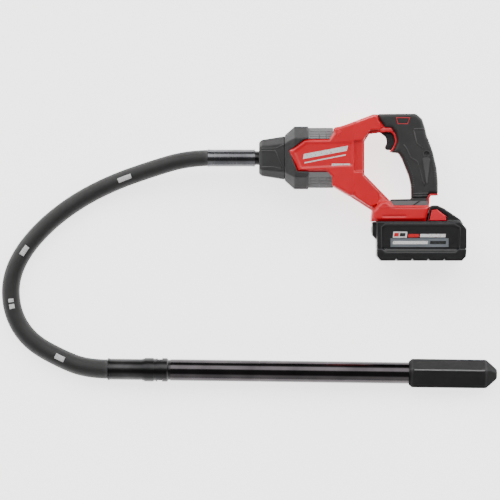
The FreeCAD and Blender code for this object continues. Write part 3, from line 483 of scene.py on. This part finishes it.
@dataclass
class Studio:
    """Camera straight above the lying tool, pale floor and a banded soft sky.

    The sky is a long soft box along one side and darkness overhead, as over a product table.

    Attributes:
        view_middle: middle of the picture on the floor, in metres.
        view_width: width of the picture at the focus height, in metres.
        lens_distance: height of the camera above the focus height, in metres.
        focus_height: height of the tool's middle, in metres.
        box_strength: strength of the long soft box.
        near_strength: strength of the band on the near side.
        overhead_strength: strength of the darkness overhead.
        floor_glow: strength of the light from below the floor.
    """

    view_middle: tuple[float, float] = (-0.1628, -0.0915)
    view_width: float = 0.730
    lens_distance: float = 8.0
    focus_height: float = 0.042
    box_strength: float = 3.6
    near_strength: float = 1.3
    overhead_strength: float = 0.14
    floor_glow: float = 2.4

    def camera(self) -> None:
        """Place the camera above the tool, looking straight down."""
        data = bpy.data.cameras.new("camera")
        data.sensor_width = 36.0
        data.lens = 36.0 * self.lens_distance / self.view_width
        eye = bpy.data.objects.new("camera", data)
        eye.location = (*self.view_middle, self.lens_distance + self.focus_height)
        bpy.context.scene.collection.objects.link(eye)
        bpy.context.scene.camera = eye

    def floor(self) -> None:
        """Lay a pale matt floor, lit from below like an opal glass table."""
        material, tree, where = start_material("matt floor paint")
        tone = ramp(tree, noise(tree, where, 300.0), [(0.3, "F9F9F9"), (0.7, "FCFCFC")])
        shader = node(tree, "BsdfPrincipled", Base_Color=tone, Roughness=0.9)
        tree.links.new(tone, shader.inputs["Emission Color"])
        shader.inputs["Emission Strength"].default_value = self.floor_glow
        finish_material(material, shader)
        mesh = bpy.data.meshes.new("floor")
        span = 8.0
        corners = [(-span, -span, 0), (span, -span, 0), (span, span, 0), (-span, span, 0)]
        mesh.from_pydata(corners, [], [(0, 1, 2, 3)])
        mesh.materials.append(material)
        ground = bpy.data.objects.new("floor", mesh)
        bpy.context.scene.collection.objects.link(ground)

    def sky(self) -> None:
        """Shade the world as bands across Y: near side, dark overhead, long soft box."""
        world = bpy.data.worlds.new("studio")
        bpy.context.scene.world = world
        world.use_nodes = True
        tree = world.node_tree
        tree.nodes.clear()
        split = node(tree, "SeparateXYZ", Vector=node(tree, "TexCoord").outputs["Generated"])
        share = node(tree, "MapRange", Value=split.outputs[1], From_Min=-1.0, From_Max=1.0)
        top = self.box_strength
        near = self.near_strength / top
        dark = self.overhead_strength / top
        bands = ramp(
            tree, share.outputs[0],
            [(0.0, near), (0.12, near), (0.19, dark), (0.60, dark), (0.66, 1.0), (0.88, 1.0), (0.93, dark)],
        )
        backdrop = node(tree, "Background", Color=bands, Strength=top)
        node(tree, "OutputWorld", Surface=backdrop.outputs[0])

    def lamp(self, name: str, place: tuple, aim: tuple, size: tuple, power: float) -> None:
        """Hang one soft box.

        Args:
            name: the lamp's name.
            place: where it hangs, in metres.
            aim: the point it faces.
            size: its width and length, in metres.
            power: its power in watts.
        """
        data = bpy.data.lights.new(name, "AREA")
        data.shape = "RECTANGLE"
        data.size, data.size_y = size
        data.energy = power
        hung = bpy.data.objects.new(name, data)
        hung.location = place
        hung.rotation_euler = (Vector(aim) - Vector(place)).to_track_quat("-Z", "Y").to_euler()
        bpy.context.scene.collection.objects.link(hung)

    def build(self) -> None:
        """Set up camera, floor, sky and one side light."""
        self.camera()
        self.floor()
        self.sky()
        self.lamp("side_box", (-2.2, 0.6, 1.8), (-0.1, -0.1, 0.0), (0.8, 1.6), 6.0)


@dataclass(frozen=True)
class Trim:
    """What an added piece is finished in, and where it belongs.

    Attributes:
        finish: key of its finish.
        slot: the material slot it is meant to count as; not used.
        body: the body it rides on.
    """

    finish: str
    slot: str
    body: Body = Body.ROOT


OVERMOULD = Trim("black_overmould", "black_overmould")
GREY_INSERT = Trim("grey_nylon", "grey_nylon")
RED_SHELL = Trim("red_nylon", "red_nylon")
# darker nylon floor for the handle's screw recess: painted shade in the hole
RECESS_PAINTED_SHADE = Trim("black_nylon", "black_overmould")
BLACK_KEY = Trim("black_nylon", "black_nylon")
PANEL_PRINT = Trim("white_ink", "red_nylon")
# pale grey rib on the tip: a painted ridge highlight
TIP_RIDGE_HIGHLIGHT = Trim("tip_ridge_highlight", "tip_rubber")
BATTERY_RIB = Trim("battery_black", "battery_black", Body.BATTERY)
WHITE_PRINT = Trim("white_ink", "battery_black", Body.BATTERY)
RED_PRINT = Trim("red_ink", "battery_black", Body.BATTERY)
DARK_PRINT = Trim("dark_ink", "battery_black", Body.BATTERY)
PLATE_WHITE = Trim("white_ink", "label_silver", Body.BATTERY)
PLATE_DARK = Trim("dark_ink", "label_silver", Body.BATTERY)
HOSE_SKIN = Trim("hose_rubber", "hose_rubber")
HOSE_PRINT = Trim("pale_ink", "hose_rubber")
TIP_SKIN = Trim("tip_rubber", "tip_rubber")


def dressed(finish: str) -> bpy.types.Material:
    """Return the material of a finish, built once."""
    wanted = FINISHES[finish]
    return bpy.data.materials.get(wanted.name) or wanted.build()


def place_piece(name: str, trim: Trim, data: bpy.types.ID) -> bpy.types.Object:
    """Put a new piece in the scene, dressed, on its body.

    Args:
        name: the piece's name.
        trim: its finish, slot and body.
        data: its mesh or curve, in world metres at rest.

    Returns:
        The new piece.
    """
    data.materials.append(dressed(trim.finish))
    piece = bpy.data.objects.new(name, data)
    bpy.context.scene.collection.objects.link(piece)
    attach(piece, trim.body.value)
    LOG.info("built %s", name)
    return piece


def soften(target: bpy.types.Object, voxel_mm: float, rounds: int) -> None:
    """Round a moulded piece's edges as its mould does, by modifiers.

    Args:
        target: the piece.
        voxel_mm: size of the grid it is rebuilt on.
        rounds: smoothing rounds, each about a third of a voxel of edge radius.
    """
    grid = target.modifiers.new("mould_grid", "REMESH")
    grid.mode = "VOXEL"
    grid.voxel_size = voxel_mm * MM
    grid.use_smooth_shade = True
    relax = target.modifiers.new("mould_edges", "SMOOTH")
    relax.factor = 0.5
    relax.iterations = rounds


def chamfer(target: bpy.types.Object, width_mm: float) -> None:
    """Break the sharp edges of a machined piece.

    Args:
        target: the piece.
        width_mm: width of the broken edge.
    """
    edge = target.modifiers.new("broken_edges", "BEVEL")
    edge.width = width_mm * MM
    edge.segments = 2
    edge.limit_method = "ANGLE"
    edge.angle_limit = math.radians(35)


def mesh_of(name: str, shape: bmesh.types.BMesh, smooth: bool) -> bpy.types.Mesh:
    """Turn an editing mesh into a finished mesh with its faces outwards.

    Args:
        name: the mesh's name.
        shape: the editing mesh, freed here.
        smooth: whether its faces are shaded smooth.

    Returns:
        The mesh.
    """
    bmesh.ops.recalc_face_normals(shape, faces=shape.faces)
    mesh = bpy.data.meshes.new(name)
    shape.to_mesh(mesh)
    shape.free()
    mesh.polygons.foreach_set("use_smooth", [smooth] * len(mesh.polygons))
    return mesh


def add_ribs(name: str, trim: Trim, paths: list, width: float, height: float, closed: bool = False) -> None:
    """Add moulded ribs with rounded tops, along one or more lines.

    Args:
        name: the piece's name.
        trim: its finish, slot and body.
        paths: lines of (x, y, z) points in millimetres, z at the surface they stand on.
        width: width at the root, in millimetres.
        height: height above the surface, in millimetres.
        closed: whether each line closes on itself.
    """
    profile = [
        (-0.5, -0.4), (-0.46, 0.35), (-0.28, 0.85), (0.0, 1.0), (0.28, 0.85), (0.46, 0.35), (0.5, -0.4),
    ]
    shape = bmesh.new()
    for path in paths:
        points = [Vector(point) for point in path]
        count = len(points)
        rows = []
        for index, point in enumerate(points):
            before = points[index - 1] if index or closed else None
            after = points[(index + 1) % count] if index < count - 1 or closed else None
            into = (point - before).normalized() if before else (after - point).normalized()
            out = (after - point).normalized() if after else into
            across_in = Vector((-into.y, into.x, 0)).normalized()
            across_out = Vector((-out.y, out.x, 0)).normalized()
            across = (across_in + across_out).normalized()
            across /= max(0.5, across.dot(across_in))
            row = [
                shape.verts.new((point + across * side * width + Vector((0, 0, rise * height))) * MM)
                for side, rise in profile
            ]
            rows.append(row)
        pairs = list(zip(rows, rows[1:])) + ([(rows[-1], rows[0])] if closed else [])
        for first, second in pairs:
            for step in range(len(profile) - 1):
                shape.faces.new((first[step], second[step], second[step + 1], first[step + 1]))
            shape.faces.new((first[-1], second[-1], second[0], first[0]))
        if not closed:
            shape.faces.new(rows[0])
            shape.faces.new(list(reversed(rows[-1])))
    place_piece(name, trim, mesh_of(name, shape, smooth=True))


def add_pads(name: str, trim: Trim, outlines: list, low: float, high: float, ease: float = 0.3) -> None:
    """Add flat pads with eased top edges.

    Args:
        name: the piece's name.
        trim: its finish, slot and body.
        outlines: closed outlines of (x, y) points in millimetres, each convex.
        low: level of the undersides, in millimetres.
        high: level of the tops.
        ease: how far the top edge is drawn in, in millimetres.
    """
    shape = bmesh.new()
    for outline in outlines:
        points = [Vector((x, y, 0)) for x, y in outline]
        middle = sum(points, Vector()) / len(points)
        rows = []
        for level, share in ((low, 0.0), (high - ease, 0.0), (high - 0.3 * ease, 0.3), (high, 1.0)):
            row = []
            for point in points:
                inward = (middle - point).normalized() * ease * share
                spot = point + inward
                row.append(shape.verts.new((spot.x * MM, spot.y * MM, level * MM)))
            rows.append(row)
        for first, second in zip(rows, rows[1:]):
            for index in range(len(points)):
                after = (index + 1) % len(points)
                shape.faces.new((first[index], first[after], second[after], second[index]))
        shape.faces.new(rows[-1])
        shape.faces.new(list(reversed(rows[0])))
    place_piece(name, trim, mesh_of(name, shape, smooth=False))


def loft_mesh(name: str, rings: list) -> bpy.types.Mesh:
    """Mesh through closed rings of equal point counts, capped at both ends.

    Args:
        name: the mesh's name.
        rings: rings of points in metres.

    Returns:
        The mesh.
    """
    count = len(rings[0])
    corners = [tuple(point) for ring in rings for point in ring]
    faces = []
    for row in range(len(rings) - 1):
        for index in range(count):
            after = (index + 1) % count
            here, there = row * count, (row + 1) * count
            faces.append((here + index, here + after, there + after, there + index))
    faces.append(tuple(reversed(range(count))))
    faces.append(tuple(range(len(corners) - count, len(corners))))
    mesh = bpy.data.meshes.new(name)
    mesh.from_pydata(corners, [], faces)
    mesh.polygons.foreach_set("use_smooth", [True] * len(mesh.polygons))
    return mesh


def bar(x_low: float, x_high: float, y_low: float, y_high: float, lean: float = 0.0) -> list:
    """Outline of a bar, leaning by a number of millimetres at its top."""
    return [(x_low, y_low), (x_high, y_low), (x_high + lean, y_high), (x_low + lean, y_high)]


def disc(x: float, y: float, radius: float, count: int) -> list:
    """Outline of a disc with a number of corners, round a point in millimetres."""
    turns = [math.tau * step / count for step in range(count)]
    return [(x + radius * math.cos(turn), y + radius * math.sin(turn)) for turn in turns]


@dataclass
class SubAssembly:
    """A group of CAD nodes that are dressed together.

    Attributes:
        frame: the loaded frame.
        names: its CAD nodes.
    """

    frame: dict
    names: list[str] = field(default_factory=list)

    def dress(self, finishes: dict[str, str] | None = None) -> None:
        """Give each node the finish of its slot, or another of the given ones.

        Args:
            finishes: finishes by node name, where they differ from the slot's.
        """
        slots = {part["node"]: part["material_slot"] for part in self.frame["record"]["subparts"]}
        for name in self.names:
            finish = (finishes or {}).get(name, slots[name])
            target = self.frame["nodes"][name]
            target.data.materials.clear()
            target.data.materials.append(dressed(finish))
            LOG.info("dressed %s in %s", name, finish)


@dataclass
class FlexibleShaft(SubAssembly):
    """The wrapped rubber hose with its printed bars, its ferrule and its core.

    Attributes:
        length: the hose's length along its middle, in metres.
        diameter: its middle diameter, in metres.
        thin_end: share of the diameter at the nose.
        thick_end: share of the diameter at the head.
        marks: place along the hose, from 0 to 1, and length in millimetres of each printed bar.
        ink_height: thickness of the ink, in metres.
        piece: the hose, once made.
        bars: names of the printed bars, once made.
    """

    length: float = 0.578
    diameter: float = 0.0254
    thin_end: float = 0.93
    thick_end: float = 1.12
    marks: tuple = ((0.195, 17.0), (0.478, 16.0), (0.632, 6.0), (0.650, 8.0), (0.865, 17.0))
    ink_height: float = 0.00012
    piece: bpy.types.Object | None = None
    bars: list[str] = field(default_factory=list)

    def thickness(self, share: float) -> float:
        """Share of the full diameter at a place from 0 at the nose to 1 at the head."""
        return self.thin_end + (self.thick_end - self.thin_end) * share

    def hose(self) -> bpy.types.Object:
        """Make the hose on its route.

        Returns:
            The hose piece.
        """
        curve = bpy.data.curves.new("hose_casing", "CURVE")
        curve.dimensions = "3D"
        curve.bevel_depth = self.diameter / 2
        curve.bevel_resolution = 8
        curve.use_fill_caps = True
        line = curve.splines.new("NURBS")
        line.points.add(len(HOSE_ROUTE) - 1)
        for index, (point, place) in enumerate(zip(line.points, HOSE_ROUTE)):
            point.co = (*place, 1.0)
            point.radius = self.thickness(index / (len(HOSE_ROUTE) - 1))
        line.order_u = 3
        line.use_endpoint_u = True
        line.resolution_u = 16
        piece = place_piece("hose_casing", HOSE_SKIN, curve)
        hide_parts("hose")
        return piece

    def along(self, share: float) -> tuple[Vector, Vector]:
        """Place and direction on the hose's axis.

        Args:
            share: from 0 at the nose to 1 at the head.

        Returns:
            The point and the direction, on the quadratic through the route's mid-points.
        """
        points = [Vector(place) for place in HOSE_ROUTE]
        spans = len(points) - 2
        spot = min(share * spans, spans - 1e-6)
        index = int(spot)
        t = spot - index
        start = points[0] if index == 0 else (points[index] + points[index + 1]) / 2
        end = points[-1] if index == spans - 1 else (points[index + 1] + points[index + 2]) / 2
        turn = points[index + 1]
        place = start * (1 - t) ** 2 + turn * 2 * t * (1 - t) + end * t * t
        ahead = (turn - start) * (1 - t) + (end - turn) * t
        return place, ahead.normalized()

    def printed_bars(self) -> list[str]:
        """Print plain pale bars on top of the hose.

        Returns:
            The names of the new pieces.
        """
        made = []
        for number, (share, length) in enumerate(self.marks):
            shape = bmesh.new()
            spread_share = length * MM / self.length
            rows = []
            for step in range(9):
                here = share + (step / 8 - 0.5) * spread_share
                place, ahead = self.along(here)
                side = ahead.cross(Vector((0, 0, 1))).normalized()
                up = side.cross(ahead).normalized()
                radius = self.diameter / 2 * self.thickness(here) + self.ink_height
                row = []
                for turn in range(-3, 4):
                    angle = math.radians(5.5 * turn)
                    out = side * math.sin(angle) + up * math.cos(angle)
                    row.append(shape.verts.new(place + out * radius))
                rows.append(row)
            for first, second in zip(rows, rows[1:]):
                for step in range(6):
                    shape.faces.new((first[step], first[step + 1], second[step + 1], second[step]))
            name = f"hose_bar_{number}"
            piece = place_piece(name, HOSE_PRINT, mesh_of(name, shape, smooth=True))
            skin = piece.modifiers.new("ink_film", "SOLIDIFY")
            skin.thickness = self.ink_height
            skin.offset = -1.0
            made.append(piece.name)
        return made

    def build(self) -> None:
        """Make the hose and its bars and dress the ferrule."""
        self.names = ["hose_ferrule", "shaft_neck", "core_end", "drive_core"]
        self.dress({"hose_ferrule": "bright_ferrule", "shaft_neck": "ferrule_steel"})
        self.piece = self.hose()
        self.bars = self.printed_bars()
        for name in ("hose_ferrule", "shaft_neck"):
            chamfer(self.frame["nodes"][name], 0.5)

    def state_cord(self) -> None:
        """Does nothing: the hose is not stated as a cord."""


@dataclass
class VibratingHead(SubAssembly):
    """The steel head: ferrule, coupling, tubes, inner shaft and square rubber tip.

    Attributes:
        origin: where the head's axis starts, in metres.
        turn_degrees: turn of the axis about Z, from X.
        tip_start: distance along the axis to the tip's heel, in millimetres.
        tip_length: the tip's length, in millimetres.
        tip_half: half of the tip's width across flats, in millimetres.
        corner: radius of the tip's long corners, in millimetres.
        tip_turn: angle of the tip's upper corner about the axis, in degrees from Y.
    """

    origin: tuple[float, float, float] = (-0.3710, -0.2658, 0.0213)
    turn_degrees: float = -0.75
    tip_start: float = 440.3
    tip_length: float = 129.7
    tip_half: float = 15.95
    corner: float = 2.6
    tip_turn: float = 76.0

    def station(self, along: float, scale: float) -> list[Vector]:
        """One ring of the tip.

        Args:
            along: distance along the head's axis, in millimetres.
            scale: share of the full square.

        Returns:
            Points of a rounded square in metres.
        """
        turned = Matrix.Rotation(math.radians(self.turn_degrees), 4, "Z")
        flat = (self.tip_half - self.corner) * scale
        round_off = self.corner * scale
        ring = []
        for quarter in range(4):
            middle = math.radians(45 + 90 * quarter)
            for step in range(-3, 4):
                angle = middle + math.radians(15 * step)
                across = math.copysign(flat, math.cos(middle)) + round_off * math.cos(angle)
                up = math.copysign(flat, math.sin(middle)) + round_off * math.sin(angle)
                # the square's corners stand where the CAD outline has them
                lean = math.radians(self.tip_turn - 45)
                y = across * math.cos(lean) - up * math.sin(lean)
                z = across * math.sin(lean) + up * math.cos(lean)
                ring.append(Vector(self.origin) + turned @ (Vector((along, y, z)) * MM))
        return ring

    def tip(self) -> None:
        """Build the square tip with its chamfered heel and blunt pyramid nose."""
        start, length = self.tip_start, self.tip_length
        stations = [
            (start + 0.2, 0.74), (start, 0.79), (start + 0.6, 0.83), (start + 4.4, 0.985), (start + 5.6, 1.0),
            (start + 8.0, 1.0), (start + length - 18.0, 1.0), (start + length - 16.4, 0.995),
            (start + length - 15.0, 0.955), (start + length - 2.2, 0.41), (start + length - 0.8, 0.34),
            (start + length - 0.1, 0.24), (start + length, 0.10),
        ]
        mesh = loft_mesh("tip_shell", [self.station(along, scale) for along, scale in stations])
        piece = place_piece("tip_shell", TIP_SKIN, mesh)
        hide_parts("rubber_tip")
        finer = piece.modifiers.new("finer", "SUBSURF")
        finer.levels = 1
        finer.render_levels = 1

    def ridge_highlight_line(self) -> None:
        """Pale grey rib along the tip's upper corner, a painted ridge highlight."""
        turned = Matrix.Rotation(math.radians(self.turn_degrees), 4, "Z")
        reach = (self.tip_half - self.corner) * math.sqrt(2) + self.corner
        top = math.radians(self.tip_turn)
        spots = [
            Vector((self.tip_start + along, reach * math.cos(top), reach * math.sin(top) - 0.15))
            for along in (8.0, self.tip_length - 18.5)
        ]
        line = [Vector(self.origin) / MM + turned @ spot for spot in spots]
        add_ribs("tip_ridge_highlight", TIP_RIDGE_HIGHLIGHT, [line], 1.9, 0.7)

    def build(self) -> None:
        """Dress the steel pieces and build the tip."""
        self.names = [
            "head_ferrule", "head_coupling", "head_tube_rear", "head_tube_front", "head_bearing_rear",
            "head_bearing_front", "head_seal", "head_drive_shaft", "eccentric_weight", "head_end_plug",
        ]
        self.dress()
        for name in ("head_ferrule", "head_coupling"):
            chamfer(self.frame["nodes"][name], 0.6)
        for name in ("head_tube_rear", "head_tube_front"):
            chamfer(self.frame["nodes"][name], 0.4)
        self.tip()
        self.ridge_highlight_line()


@dataclass
class PowerUnit(SubAssembly):
    """Housing shells, handle, nose and controls, with their ribs, grooves and markings.

    Attributes:
        panel_top: level of the side panel's face, in millimetres.
        panel_edge: level that the fin at the panel's top stands on.
        grip_top: level of the handle's side.
        foot_top: level of the foot's side.
        insert_top: level of the grey foot insert's side.
    """

    panel_top: float = 82.0
    panel_edge: float = 83.0
    grip_top: float = 60.0
    foot_top: float = 79.0
    insert_top: float = 74.0

    def boot_level(self, x: float) -> float:
        """Height of the boot's upper face at a place along it."""
        return 68.2 + (x + 145.7) * 0.1573

    def nose(self) -> None:
        """Ribs on the boot and the collar's end rims."""
        lines = [
            [(-146.0, 56.6), (-125.3, 56.6), (-113.4, 62.0)],
            [(-146.0, 53.2), (-126.0, 53.2), (-113.4, 24.0)],
            [(-146.0, 29.6), (-128.0, 29.6), (-113.4, 25.6)],
        ]
        raised = [[(x, y, self.boot_level(x) - 0.1) for x, y in line] for line in lines]
        add_ribs("boot_ribs", OVERMOULD, raised, 1.6, 0.8)
        rims = [
            [(-79.8, 70.4, 84.0), (-79.8, 87.0, 67.6)],
            [(-79.8, 15.2, 84.0), (-79.8, -1.4, 67.6)],
        ]
        add_ribs("collar_rims", OVERMOULD, rims, 3.0, 0.8)

    def vents(self) -> None:
        """Lengthwise ribs and short bridges on the sloping vent inserts."""
        ribs = []
        for y in (73.6, 77.2, 80.8):
            z = 81.0 - (y - 70.4)
            ribs.append([(-75.8, y, z), (-44.5, y, z)])
        for y in (13.0, 8.6, 4.2):
            z = 81.0 - (15.2 - y)
            ribs.append([(-75.8, y, z), (-45.5, y, z)])
        for x in (-62.0, -52.0):
            ribs.append([(x, 71.4, 80.2), (x, 84.8, 66.8)])
            ribs.append([(x, 14.0, 79.6), (x, 1.6, 67.2)])
        add_ribs("vent_ribs", GREY_INSERT, ribs, 1.1, 0.7)

    def handle(self) -> None:
        """Overmould lines, wedge rib, recess ring, side ribs and end bands of the handle."""
        z = self.grip_top
        lines = [
            [(75.8, 85.0, z), (90.0, 85.4, z)],
            [(75.8, 83.7, z), (80.3, 64.8, z), (89.2, 56.4, z)],
            [
                (61.3, 62.6, z), (65.7, 55.9, z), (71.4, 43.5, z), (81.3, 37.4, z), (89.0, 9.2, z),
                (92.6, 2.4, z),
            ],
        ]
        add_ribs("handle_lines", OVERMOULD, lines, 1.7, 0.8)
        wedge = [(88.4, 41.6), (90.4, 43.2), (97.8, 43.0), (99.6, 41.0), (95.8, 5.4), (94.0, 5.4)]
        add_pads("handle_wedge", OVERMOULD, [wedge], z - 0.5, z + 1.1, 0.9)
        ring = [(x, y, z) for x, y in disc(94.6, 48.6, 4.7, 24)]
        add_ribs("handle_ring", OVERMOULD, [ring], 1.2, 0.6, True)
        hole = disc(94.6, 48.6, 3.3, 12)
        # the recess floor is darker than the overmould: painted shade in the hole
        add_pads("handle_recess", RECESS_PAINTED_SHADE, [hole], z - 2.6, z - 1.9, 0.3)
        bands = [[(74.2, y, z), (96.5, y + 0.6, z)] for y in (-9.6, -13.2)]
        add_ribs("handle_bands", OVERMOULD, bands, 1.8, 0.7)
        ribs = []
        for step in range(13):
            y = 1.0 + 3.1 * step
            x = 72.4 - 0.0072 * max(0.0, y - 1.0) ** 2
            ribs.append([(x + 1.2, y, z - 1.1), (x + 4.4, y - 0.9, z - 0.1)])
        for step in range(16):
            y = 15.0 + 3.6 * step
            x = 110.4 - 0.0031 * (y - 8.0) ** 2
            ribs.append([(x - 4.6, y + 0.8, z - 0.1), (x - 1.4, y, z - 1.1)])
        add_ribs("handle_ribs", OVERMOULD, ribs, 1.2, 0.5)

    def controls(self) -> None:
        """Red rim around the lock button, and the wall that closes the slit above the trigger."""
        z = self.grip_top
        rim = [(52.9, 92.4, z), (66.7, 92.4, z), (70.0, 101.3, z), (50.6, 101.3, z)]
        shroud = [bar(28.0, 46.0, 80.6, 82.4)]
        add_pads("trigger_shroud", RED_SHELL, shroud, 34.0, 50.0)
        add_ribs("lock_rim", RED_SHELL, [rim], 0.9, 0.5, True)

    def foot(self) -> None:
        """Crease along the foot and the slanting black key in the grey insert."""
        crease = [[(24.0, -29.4, self.foot_top), (88.0, -29.4, self.foot_top), (92.6, -28.0, self.foot_top)]]
        add_ribs("foot_crease", RED_SHELL, crease, 1.0, 0.35)
        key = [(73.4, -26.4), (76.6, -26.4), (85.4, -20.2), (82.2, -20.2)]
        add_pads("foot_key", BLACK_KEY, [key], self.insert_top - 0.5, self.insert_top + 0.5)

    def markings(self) -> None:
        """Plain white bars in place of lettering, and a small moulded rib at the panel's top."""
        z = self.panel_top
        bars = [
            [(-86.0, 40.6), (-22.0, 52.6), (-20.5, 60.0), (-84.5, 48.0)],
            [(-84.0, 34.2), (-24.0, 45.8), (-23.6, 47.6), (-83.6, 36.0)],
            [(-44.8, 29.2), (-18.0, 29.2), (-17.2, 34.0), (-44.0, 34.0)],
        ]
        add_pads("panel_bars", PANEL_PRINT, bars, z - 0.1, z + 0.12, 0.05)
        fin = [(-36.6, 85.4), (-29.6, 80.8), (-36.2, 74.0)]
        add_pads("panel_fin", RED_SHELL, [fin], self.panel_edge - 1.0, self.panel_edge + 0.8, 1.0)

    def build(self) -> None:
        """Dress and soften the nodes, then add the details."""
        self.names = [
            "housing_left", "housing_right", "grip_left", "grip_right", "nose_boot", "bumper_collar",
            "vent_insert_top", "vent_insert_bottom", "foot_insert", "lock_button", "trigger",
            "shaft_retainer", "housing_screws",
        ]
        self.dress({"shaft_retainer": "ferrule_steel"})
        rounds = {
            "housing_left": 4, "housing_right": 4, "grip_left": 10, "grip_right": 10, "nose_boot": 6,
            "bumper_collar": 4, "trigger": 3,
        }
        for name, count in rounds.items():
            soften(self.frame["nodes"][name], 0.9, count)
        for name in ("vent_insert_top", "vent_insert_bottom", "foot_insert", "lock_button", "shaft_retainer"):
            chamfer(self.frame["nodes"][name], 0.5)
        self.nose()
        self.vents()
        self.handle()
        self.controls()
        self.foot()
        self.markings()


@dataclass
class BatteryPack(SubAssembly):
    """The sliding battery with its framed side, label plate and plain bars.

    Attributes:
        face: level of the battery's side, in millimetres.
        recess: level of the recess in that side.
        plate: level of the label plate.
    """

    face: float = 84.0
    recess: float = 82.4
    plate: float = 83.2

    def frame_ribs(self) -> None:
        """Raised frame around the side recess."""
        z = self.face
        frame = [
            (28.2, -91.0, z), (28.2, -58.6, z), (33.6, -53.4, z), (134.0, -53.4, z), (142.4, -59.0, z),
            (142.4, -89.4, z), (136.0, -95.6, z), (34.4, -95.6, z),
        ]
        add_ribs("battery_frame", BATTERY_RIB, [frame], 1.6, 0.5, True)

    def label(self) -> None:
        """Plain bars in place of the lettering."""
        z, p = self.recess, self.plate
        white = [bar(44.6, 65.0, -73.6, -64.8, 0.8), bar(84.0, 121.0, -73.0, -68.2, 0.8)]
        add_pads("label_white", WHITE_PRINT, white, z - 0.1, z + 0.15, 0.05)
        red = [bar(46.4, 53.0, -72.0, -66.6, 0.6), bar(66.6, 82.6, -73.0, -68.2, 0.8)]
        add_pads("label_red", RED_PRINT, red, z, z + 0.25, 0.05)
        pale = [bar(44.6, 95.0, -83.0, -78.4, 0.6)]
        add_pads("label_pale", PLATE_WHITE, pale, p - 0.1, p + 0.12, 0.05)
        dark = [bar(54.6, 62.6, -71.8, -66.8, 0.6)]
        add_pads("label_box", DARK_PRINT, dark, z, z + 0.25, 0.05)
        grade = [bar(98.6, 121.6, -83.0, -78.4, 0.6)]
        add_pads("label_dark", PLATE_DARK, grade, p - 0.1, p + 0.12, 0.05)

    def build(self) -> None:
        """Dress and soften the battery, then add its frame and label."""
        self.names = [
            "battery_case_upper", "battery_case_lower", "battery_cells", "battery_board", "battery_contacts",
            "battery_labels", "latch_left", "latch_right", "latch_spring_left", "latch_spring_right",
            "gauge_button",
        ]
        self.dress()
        for name in ("battery_case_upper", "battery_case_lower"):
            soften(self.frame["nodes"][name], 0.9, 3)
        for name in ("latch_left", "latch_right", "gauge_button", "battery_labels"):
            chamfer(self.frame["nodes"][name], 0.4)
        self.frame_ribs()
        self.label()


@dataclass
class DriveLine(SubAssembly):
    """Everything inside the housing: motor, bearings, switch and boards."""

    def build(self) -> None:
        """Dress the inner pieces and break their edges."""
        self.names = [
            "spindle_housing", "front_bearing", "rear_bearing", "stator", "rotor", "motor_shaft",
            "cooling_fan", "drive_socket", "switch_module", "trigger_spring", "controller_board",
            "terminal_block",
        ]
        self.dress()
        for name in ("spindle_housing", "switch_module", "terminal_block", "stator"):
            chamfer(self.frame["nodes"][name], 0.4)


def main() -> None:
    """Build the scene in order: camera and hose first, then each sub-assembly."""
    logging.basicConfig(level=logging.INFO, format="%(name)s: %(message)s")
    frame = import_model()
    Studio().build()
    shaft = FlexibleShaft(frame)
    shaft.build()
    VibratingHead(frame).build()
    shaft.state_cord()
    PowerUnit(frame).build()
    BatteryPack(frame).build()
    DriveLine(frame).build()


if __name__ == "__main__":
    main()
